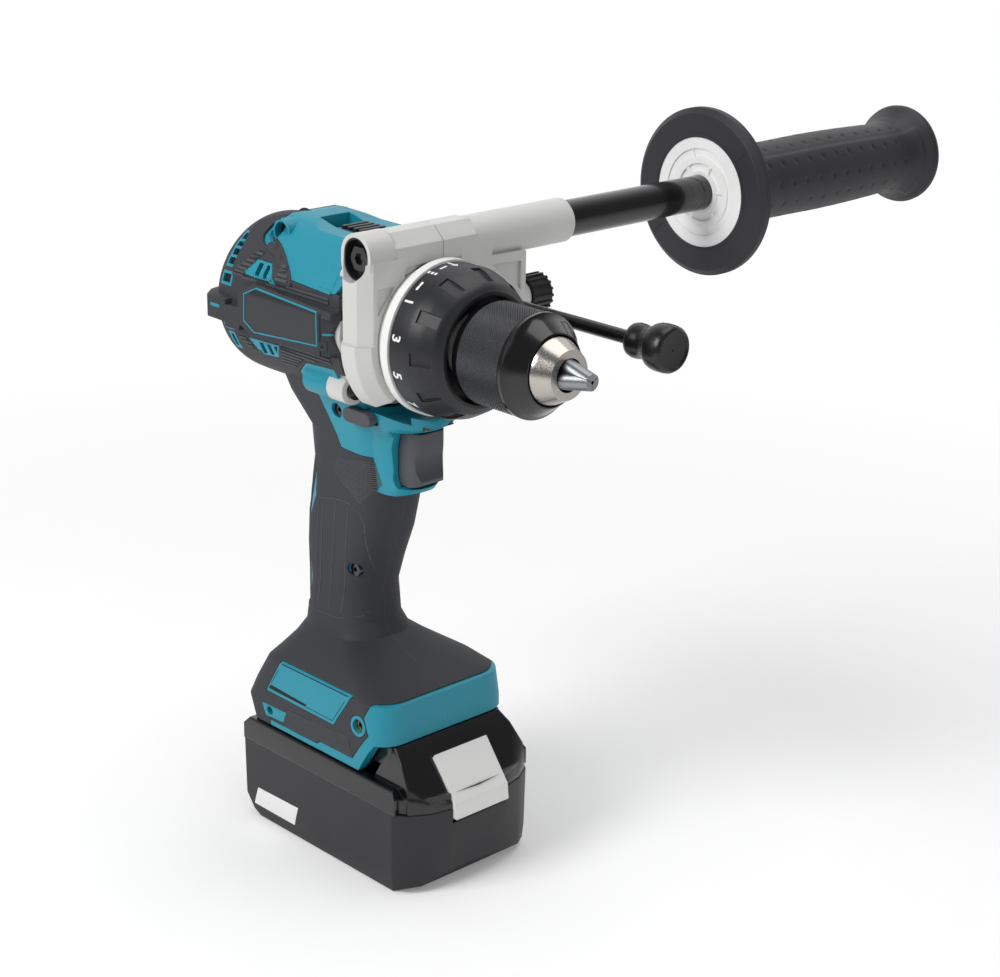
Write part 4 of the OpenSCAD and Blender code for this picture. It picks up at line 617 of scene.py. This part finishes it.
# rubber lobes beside the teal shoulders, and the teal skin in front of them
shoulder = [(-41.5, up + 31), (-34.0, up + 28.3), (-28.4, up + 25.2), (-20.8, up + 19.8), (-17.8, up + 17.2),
            (-17.0, up + 15.4), (-21.5, up + 15.4), (-27, up + 20.5), (-33.5, up + 24), (-42.5, up + 26)]
lobeRibs = [(-26.6, up + 23.2), (-24.4, up + 22.4), (-19.6, up + 17.4), (-19.4, up + 16.0),
            (-26.8, up + 16.1)]
lugPatch = rectangle(-1.5, up + 18, 6.2, up + 27)
frontSkin = Ground(["housing_right", "housing_left", "gear_case"])
lobeLook = {"high": 0.9, "sunk": 0.3, "step": 1.2}
lugLook = {"high": 0.12, "sunk": 0.3, "step": 0.8}
lobeStrips = hatch(lobeRibs, barrelRibs["pitch"], barrelRibs["thick"])
for side, tag in sides:
    plate("shoulderLobe" + tag, [shoulder], shell, side, softGrip, lobeLook)
    plate("lobeRibs" + tag, lobeStrips, shell, side, ribGrip, {**barrelRibs, "high": 1.25})
    plate("lugCover" + tag, [lugPatch], frontSkin, side, tealNylon, lugLook)
print("rear dome and front edge made")

# bare field on the battery for writing on
writeField = [(-40.9, 14.6), (-13.2, 15.2), (-16.2, 5.8), (-44.2, 5.8)]
plate("writeOnField", [writeField], caseSide, -1, whiteInk, {"high": 0.12, "sunk": 0.2, "step": 1.5},
      body="battery")


def knurledBand():
    # diamond knurl of the chuck sleeve
    look = {"start": 66.6, "end": 88.6, "radius": 20.42, "around": 104, "spare": 24, "high": 0.34}
    size = 2 * math.pi * look["radius"] / look["around"]          # width of a diamond, mm
    long = look["end"] - look["start"]
    bm = bmesh.new()
    cells = look["around"] + look["spare"]
    bmesh.ops.create_grid(bm, x_segments=cells, y_segments=cells, size=cells * size / 2 / math.sqrt(2))
    bmesh.ops.rotate(bm, verts=bm.verts, matrix=Matrix.Rotation(math.radians(45), 3, "Z"))
    reach = look["around"] * size / 2

    def trim(spare):
        for normal, place in (((1, 0, 0), long / 2), ((-1, 0, 0), long / 2),
                              ((0, 1, 0), reach), ((0, -1, 0), reach)):
            cutAt(bm, Vector(normal) * (place + spare), normal, dist=1e-5, clear=True)

    trim(size)
    bmesh.ops.poke(bm, faces=[f for f in bm.faces if len(f.verts) == 4], offset=look["high"])
    trim(0)
    middle = (look["start"] + look["end"]) / 2
    for v in bm.verts:
        turn = math.degrees(v.co.y / look["radius"])
        v.co = polar(turn, (look["radius"] + abs(v.co.z)) * mm, (middle + v.co.x) * mm)
    finishPiece("knurledBand", bm, knurlSteel, "sleeve", angle=10, outward=True)


knurledBand()


inkHigh = 0.05 * mm


def wrapOnRing(bm, flat, angle, along, radius, lift):
    # lays a flat mark, up towards the chuck, round the ring
    start = len(bm.verts)
    bm.from_mesh(flat)
    bm.verts.ensure_lookup_table()
    for v in bm.verts[start:]:
        u, w, high = v.co
        turn = angle - math.degrees(u / (radius * mm))
        v.co = polar(turn, radius * mm + lift * mm + high, along * mm + w)


def glyphMesh(text, size, bold):
    curve = bpy.data.curves.new("glyph", "FONT")
    curve.body = text
    curve.size = size * mm
    curve.offset = bold * mm
    curve.extrude = inkHigh
    curve.align_x = "CENTER"
    curve.align_y = "CENTER"
    curve.resolution_u = 4
    holder = bpy.data.objects.new("glyph", curve)
    mesh = bpy.data.meshes.new_from_object(holder)
    bpy.data.objects.remove(holder)
    return mesh


def markMesh(outlines):
    bm = bmesh.new()
    for outline in outlines:
        bm.faces.new([bm.verts.new((u * mm, w * mm, 0)) for u, w in outline])
    bmesh.ops.translate(bm, verts=list(secondSkin(bm)), vec=(0, 0, inkHigh))
    mesh = bpy.data.meshes.new("mark")
    bm.to_mesh(mesh)
    bm.free()
    return mesh


def ringMarks():
    # odd numbers of the torque steps, then the marks of the hammer and drill settings
    look = {"radius": 30.6, "along": 42.6, "first": 39.7, "step": 28.15, "count": 11, "size": 6.4,
            "bold": 0.14, "lift": 0.02}
    marks = {54: [rectangle(-2.1, -0.6, 2.1, 0.6)],
             79: [rectangle(-1.7, -0.5, 1.7, 0.5)],
             69: [rectangle(-0.7, w - 0.6, 0.7, w + 0.6) for w in (-2.4, -0.5, 1.4)],
             88: [rectangle(-0.5, -3, 0.5, 2.2), [(-1.6, 1), (0, 3.2), (1.6, 1)]]}
    placed = [(look["first"] - i * look["step"], glyphMesh(str(2 * i + 1), look["size"], look["bold"]))
              for i in range(look["count"])]
    placed += [(angle, markMesh(outlines)) for angle, outlines in marks.items()]
    bm = bmesh.new()
    for angle, flat in placed:
        wrapOnRing(bm, flat, angle, look["along"], look["radius"], look["lift"])
    finishPiece("ringMarks", bm, whiteInk, "torque_collar", outward=True)


ringMarks()
print("chuck and torque ring detailed")


def sideGrip():
    # side grip with pits, a raised band and a flared end
    look = {"pitRadius": 1.35, "pitDeep": 0.6, "pitStep": 9.3, "pitFirst": 190, "pitFrom": 188, "pitTo": 294,
            "rows": 12, "rowFirst": 5, "bandFrom": -62, "bandTo": 51, "bandHigh": 0.5, "bandSlope": 2,
            "shapedFrom": 184, "shapedTo": 303, "core": 12, "slice": 0.8}
    profile = [(7.8, 181.6), (17.0, 181.6), (17.5, 186), (17.2, 200), (17.3, 215), (17.6, 235), (17.5, 250),
               (17.2, 264), (16.7, 280), (16.2, 291), (16.8, 296), (18.4, 300.5), (20.6, 304), (22.6, 306.6),
               (23.1, 308.2), (22.9, 309.8), (21.8, 311), (20, 311.6), (0.0, 311.6)]
    bm = bmesh.new()
    ring = []
    for (r0, y0), (r1, y1) in zip(profile, profile[1:]):
        steps = max(1, round((y1 - y0) / look["slice"]))
        ring += [(r0 + (r1 - r0) * k / steps, y0 + (y1 - y0) * k / steps) for k in range(steps)]
    ring.append(profile[-1])
    turnRound(bm, [handlePoint(r, y) for r, y in ring], handlePoint(0, 0), (0, 1, 0), 144)
    rowTurn = 360 / look["rows"]
    for v in bm.verts:
        along = v.co.y / mm
        x, z = v.co.x - handleX, v.co.z - handleZ
        radius = math.hypot(x, z) / mm
        if not look["shapedFrom"] < along < look["shapedTo"] or radius < look["core"]:
            continue
        turn = math.degrees(math.atan2(z, x))
        inBand = min(look["bandTo"] - turn, turn - look["bandFrom"])
        move = look["bandHigh"] * min(1, max(0, inBand) / look["bandSlope"])
        row = round((turn - look["rowFirst"]) / rowTurn)
        first = look["pitFirst"] + (row % 2) * look["pitStep"] / 2
        place = first + round((along - first) / look["pitStep"]) * look["pitStep"]
        if look["pitFrom"] < place < look["pitTo"]:
            aside = math.radians(turn - look["rowFirst"] - row * rowTurn) * radius
            off = math.hypot(aside, along - place)
            if off < look["pitRadius"]:
                move -= look["pitDeep"] * (1 - (off / look["pitRadius"]) ** 2)
        v.co.x = handleX + x * (radius + move) / radius
        v.co.z = handleZ + z * (radius + move) / radius
    piece = finishPiece("pittedGrip", bm, handAbs, "side_handle", angle=50, outward=True)
    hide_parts("side_grip")


sideGrip()


def rodEnd():
    # end piece of the depth rod: waisted, with a dished face
    low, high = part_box("depth_rod_end")
    rear, y, z = low[0], (low[1] + high[1]) / 2, (low[2] + high[2]) / 2
    # radius, and how far ahead of the rear end
    profile = [(3.5, 0), (5.8, 0), (6.6, 0.7), (7.0, 2.2), (7.0, 4.0), (6.7, 6.0), (6.6, 7.6), (6.9, 9.0),
               (7.8, 10.8), (8.8, 12.2), (9.3, 13.6), (9.5, 15.4), (9.5, 18.4), (9.2, 20.2), (8.6, 21.2),
               (7.9, 21.6), (7.5, 21.4), (7.2, 20.8), (4, 20.6), (0.5, 20.6), (0.5, 20.2), (0, 20.2)]
    bm = bmesh.new()
    turnRound(bm, [(rear + x * mm, y, z + r * mm) for r, x in profile], (0, y, z), (1, 0, 0), 96)
    piece = finishPiece("rodEnd", bm, rodPlastic, "depth_stop", angle=40, outward=True)
    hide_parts("depth_rod_end")


rodEnd()


def sliderFloor():
    # black floor of the speed slider's window, with the mark of the first gear
    low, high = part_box("speed_slider")
    look = {"behind": 11, "half": 7.9, "below": 0.03, "thick": 1.0, "mark": (-24.5, -1.5), "size": 6.0,
            "bold": 0.14, "markBelow": 0.01}
    rear, front, top = low[0] - look["behind"] * mm, high[0], low[2] - look["below"] * mm
    size = (front - rear, 2 * look["half"] * mm, look["thick"] * mm)
    bm = bmesh.new()
    bmesh.ops.create_cube(bm, size=1, matrix=Matrix.Diagonal((*size, 1)))
    bmesh.ops.translate(bm, verts=bm.verts, vec=((rear + front) / 2, 0, top - size[2] / 2))
    finishPiece("sliderFloor", bm, blackAbs, "housing", outward=True)
    bm = bmesh.new()
    bm.from_mesh(glyphMesh("1", look["size"], look["bold"]))
    bmesh.ops.rotate(bm, verts=bm.verts, matrix=Matrix.Rotation(math.radians(90), 3, "Z"))
    # its face stays under the slider, which passes over it
    lift = low[2] - look["markBelow"] * mm - max(v.co.z for v in bm.verts)
    bmesh.ops.translate(bm, verts=bm.verts, vec=(look["mark"][0] * mm, look["mark"][1] * mm, lift))
    finishPiece("gearMark", bm, whiteInk, "housing", outward=True)


sliderFloor()


def hubDisc():
    # hub of the hand guard: ribbed disc with six spokes
    look = {"profile": [(7.75, 166.2), (7.75, 164.7), (9.3, 164.7), (9.3, 166.1), (12.8, 166.1),
                        (12.8, 165.0), (15.8, 165.0), (15.8, 165.8), (19.3, 165.8), (19.3, 165.0),
                        (25.2, 165.0), (25.2, 166.2)],
            "lip": [(25.3, 165.6), (24.2, 165.4), (24.2, 164.7), (24.6, 164.5), (25.9, 164.5)],
            "spokes": [8 + 60 * i for i in range(6)], "bridges": [105, 285], "split": [39.5, 219.5]}
    # inner and outer radius, width, and its span along the handle
    spoke = (9.1, 13, 1.7, 165.1, 166.15)
    bridge = (15.9, 19.2, 0.5, 165.2, 166)
    splitLine = (25.3, 33, 0.22, 164.55, 165)

    def bar(target, turn, inner, outer, wide, low, high):
        made = bmesh.ops.create_cube(target, size=1, matrix=Matrix.Diagonal(
            ((outer - inner) * mm, (high - low) * mm, wide * mm, 1)))
        middle = ((outer + inner) / 2 * mm, (high + low) / 2 * mm, 0)
        bmesh.ops.translate(target, verts=made["verts"], vec=middle)
        bmesh.ops.rotate(target, verts=made["verts"], matrix=Matrix.Rotation(-math.radians(turn), 3, "Y"))
        bmesh.ops.translate(target, verts=made["verts"], vec=handlePoint(0, 0))

    bm = bmesh.new()
    turnRound(bm, [handlePoint(r, y) for r, y in look["profile"]], handlePoint(0, 0), (0, 1, 0), 120)
    for turn in look["spokes"]:
        bar(bm, turn, *spoke)
    for turn in look["bridges"]:
        bar(bm, turn, *bridge)
    hub = finishPiece("hubDisc", bm, litHubAcetal, "side_handle", outward=True)
    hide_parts("guard_hub")
    lines = bmesh.new()
    for turn in look["split"]:
        bar(lines, turn, *splitLine)
    finishPiece("guardSplit", lines, deepShadow, "side_handle")
    lip = bmesh.new()
    turnRound(lip, [handlePoint(r, y) for r, y in look["lip"]], handlePoint(0, 0), (0, 1, 0), 120)
    finishPiece("guardLip", lip, handAbs, "side_handle", outward=True)


hubDisc()


def boltWell():
    # dark walls and floor in the clamp's oval recess, round the bolt's head
    look = {"profile": [(7.05, 31.8), (6.45, 31.8), (6.25, 27.35), (3.0, 27.35)], "rise": 1.4, "flank": 4,
            "steps": 72}
    bm = bmesh.new()
    turnRound(bm, [(r * mm, -y * mm, 0) for r, y in look["profile"]], (0, 0, 0), (0, 1, 0), look["steps"])
    for v in bm.verts:
        upward = math.sin(math.atan2(v.co.z, v.co.x))          # pulls the round out into an oval
        v.co.z += look["rise"] * mm * max(-1, min(1, upward * look["flank"]))
    bmesh.ops.translate(bm, verts=bm.verts, vec=handlePoint(0, 0))
    finishPiece("boltWell", bm, blackAbs, "clamp", angle=40, outward=True)


boltWell()


def lamp():
    # white reflector with two yellow chips behind the window
    look = {"centre": (31.4, up - 35.9), "lean": -56, "edge": 0.1}
    for name, material, sizes, spots in (
            ("lampReflector", whiteAcetal, (2.4, 12.6, 0.3), [(0, 0)]),
            ("lampChips", lampChip, (1.3, 2.8, 0.4), [(-3.2, 0.35), (3.2, 0.35)])):
        bm = bmesh.new()
        for y, lift in spots:
            bmesh.ops.create_cube(bm, size=1, matrix=Matrix.Translation((0, y, lift)) @
                                  Matrix.Diagonal((*sizes, 1)))
        bmesh.ops.bevel(bm, geom=bm.edges[:], offset=look["edge"], offset_type="OFFSET", segments=1,
                        profile=0.5, affect="EDGES", material=-1)
        bmesh.ops.scale(bm, vec=(mm, mm, mm), verts=bm.verts)
        lean = Matrix.Rotation(math.radians(90 - look["lean"]), 3, "Y")
        bmesh.ops.rotate(bm, verts=bm.verts, matrix=lean)
        bmesh.ops.translate(bm, verts=bm.verts, vec=(look["centre"][0] * mm, 0, look["centre"][1] * mm))
        finishPiece(name, bm, material, "housing")


lamp()


def studio():
    # floor and light
    # lamps: name, place, size and power
    look = {"lamps": [("keyLamp", (-0.2, -1.1, 1.0), 0.7, 11.0), ("fillLamp", (1.3, -0.2, 0.6), 0.9, 1.2),
                      ("topLamp", (0.1, 0.3, 1.4), 1.0, 6.0)], "aim": (0.03, 0.08, 0.16),
            "ambient": 0.34, "dim": 0.16, "lift": 0.16, "clearFrom": 0.22, "clearTo": 0.75,
            "floorHalf": 4.0, "under": -0.0002, "backdrop": (-0.68, 0.65, -0.33)}
    bm = bmesh.new()
    bmesh.ops.create_grid(bm, x_segments=1, y_segments=1, size=look["floorHalf"])
    mesh = bpy.data.meshes.new("floor")
    bm.to_mesh(mesh)
    bm.free()
    floor = bpy.data.objects.new("floor", mesh)
    bpy.context.scene.collection.objects.link(floor)
    floor.location.z = look["under"]
    paper = bpy.data.materials.new("palePaper")
    paper.use_nodes = True
    tree = paper.node_tree
    tree.nodes.clear()
    place = addNode(tree, "ShaderNodeTexCoord").outputs["Object"]
    fibre = addNode(tree, "ShaderNodeTexNoise", {"Vector": place, "Scale": 40.0, "Detail": 3.0})
    tone = addNode(tree, "ShaderNodeMapRange", {"Value": fibre.outputs["Fac"], 3: 0.97, 4: 1.0})
    matt = addNode(tree, "ShaderNodeBsdfPrincipled", {"Base Color": tone.outputs[0], "Roughness": 0.9})
    path = addNode(tree, "ShaderNodeLightPath")
    # the sheet runs out into plain white away from the drill, and is lifted a little near it
    away = addNode(tree, "ShaderNodeVectorMath", {0: place}, operation="LENGTH")
    fade = addNode(tree, "ShaderNodeMapRange", {"Value": away.outputs["Value"], 1: look["clearFrom"],
                                                2: look["clearTo"]}, interpolation_type="SMOOTHSTEP")
    lift = addNode(tree, "ShaderNodeMath", {0: path.outputs["Is Camera Ray"], 1: look["lift"]},
                   operation="MULTIPLY")
    glow = addNode(tree, "ShaderNodeEmission", {"Strength": lift.outputs[0]})
    near = addNode(tree, "ShaderNodeAddShader", {0: matt.outputs[0], 1: glow.outputs[0]})
    white = addNode(tree, "ShaderNodeEmission", {"Strength": 1.0})
    reach = addNode(tree, "ShaderNodeMath", {0: path.outputs["Is Camera Ray"], 1: fade.outputs[0]},
                    operation="MULTIPLY")
    sheet = addNode(tree, "ShaderNodeMixShader",
                    {0: reach.outputs[0], 1: near.outputs[0], 2: white.outputs[0]})
    addNode(tree, "ShaderNodeOutputMaterial", {"Surface": sheet.outputs[0]})
    mesh.materials.append(paper)

    world = bpy.data.worlds.new("softRoom")
    bpy.context.scene.world = world
    world.use_nodes = True
    tree = world.node_tree
    tree.nodes.clear()
    path = addNode(tree, "ShaderNodeLightPath")
    # gloss shows the white backdrop behind the drill and a dimmer room elsewhere
    ray = addNode(tree, "ShaderNodeTexCoord")
    facing = addNode(tree, "ShaderNodeVectorMath", {0: ray.outputs["Generated"], 1: look["backdrop"]},
                     operation="DOT_PRODUCT")
    backdrop = addNode(tree, "ShaderNodeMapRange", {"Value": facing.outputs["Value"], 1: -0.1, 2: 0.6,
                                                    3: look["dim"], 4: 1.0}, interpolation_type="SMOOTHSTEP")
    seen = addNode(tree, "ShaderNodeMath", {0: path.outputs["Is Camera Ray"],
                                            1: path.outputs["Is Transmission Ray"]}, operation="MAXIMUM")
    direct = addNode(tree, "ShaderNodeMapRange", {"Value": seen.outputs[0], 3: look["ambient"], 4: 1.0})
    strength = addNode(tree, "ShaderNodeMix", {0: path.outputs["Is Glossy Ray"], 2: direct.outputs[0],
                                               3: backdrop.outputs[0]})
    sky = addNode(tree, "ShaderNodeBackground", {"Color": (1, 1, 1, 1), "Strength": strength.outputs[0]})
    addNode(tree, "ShaderNodeOutputWorld", {"Surface": sky.outputs[0]})

    for name, place, size, power in look["lamps"]:
        lampData = bpy.data.lights.new(name, "AREA")
        lampData.size = size
        lampData.energy = power
        source = bpy.data.objects.new(name, lampData)
        bpy.context.scene.collection.objects.link(source)
        source.location = place
        way = Vector(look["aim"]) - Vector(place)
        source.rotation_euler = way.to_track_quat("-Z", "Y").to_euler()


def camera():
    # standing a little above the drill and to the right of its nose
    look = {"turn": 46.25, "lift": 19.43, "roll": 0.97, "away": 907.49, "lens": 79.96,
            "centre": (60, 40, 150), "across": -21.77, "upward": 11.65}
    turn, lift, roll = (math.radians(look[k]) for k in ("turn", "lift", "roll"))
    back = Vector((math.sin(turn) * math.cos(lift), -math.cos(turn) * math.cos(lift), math.sin(lift)))
    right = Vector((math.cos(turn), math.sin(turn), 0))
    upward = back.cross(right)
    rolledRight = math.cos(roll) * right + math.sin(roll) * upward
    rolledUp = -math.sin(roll) * right + math.cos(roll) * upward
    spot = (Vector(look["centre"]) + look["across"] * rolledRight + look["upward"] * rolledUp +
            back * look["away"])
    data = bpy.data.cameras.new("camera")
    data.sensor_width = 36
    data.lens = look["lens"]
    eye = bpy.data.objects.new("camera", data)
    bpy.context.scene.collection.objects.link(eye)
    facing = Matrix((rolledRight, rolledUp, back)).transposed().to_4x4()
    eye.matrix_world = Matrix.Translation(spot * mm) @ facing
    bpy.context.scene.camera = eye


studio()
camera()
bpy.context.scene.view_settings.view_transform = "Standard"
print("studio ready")
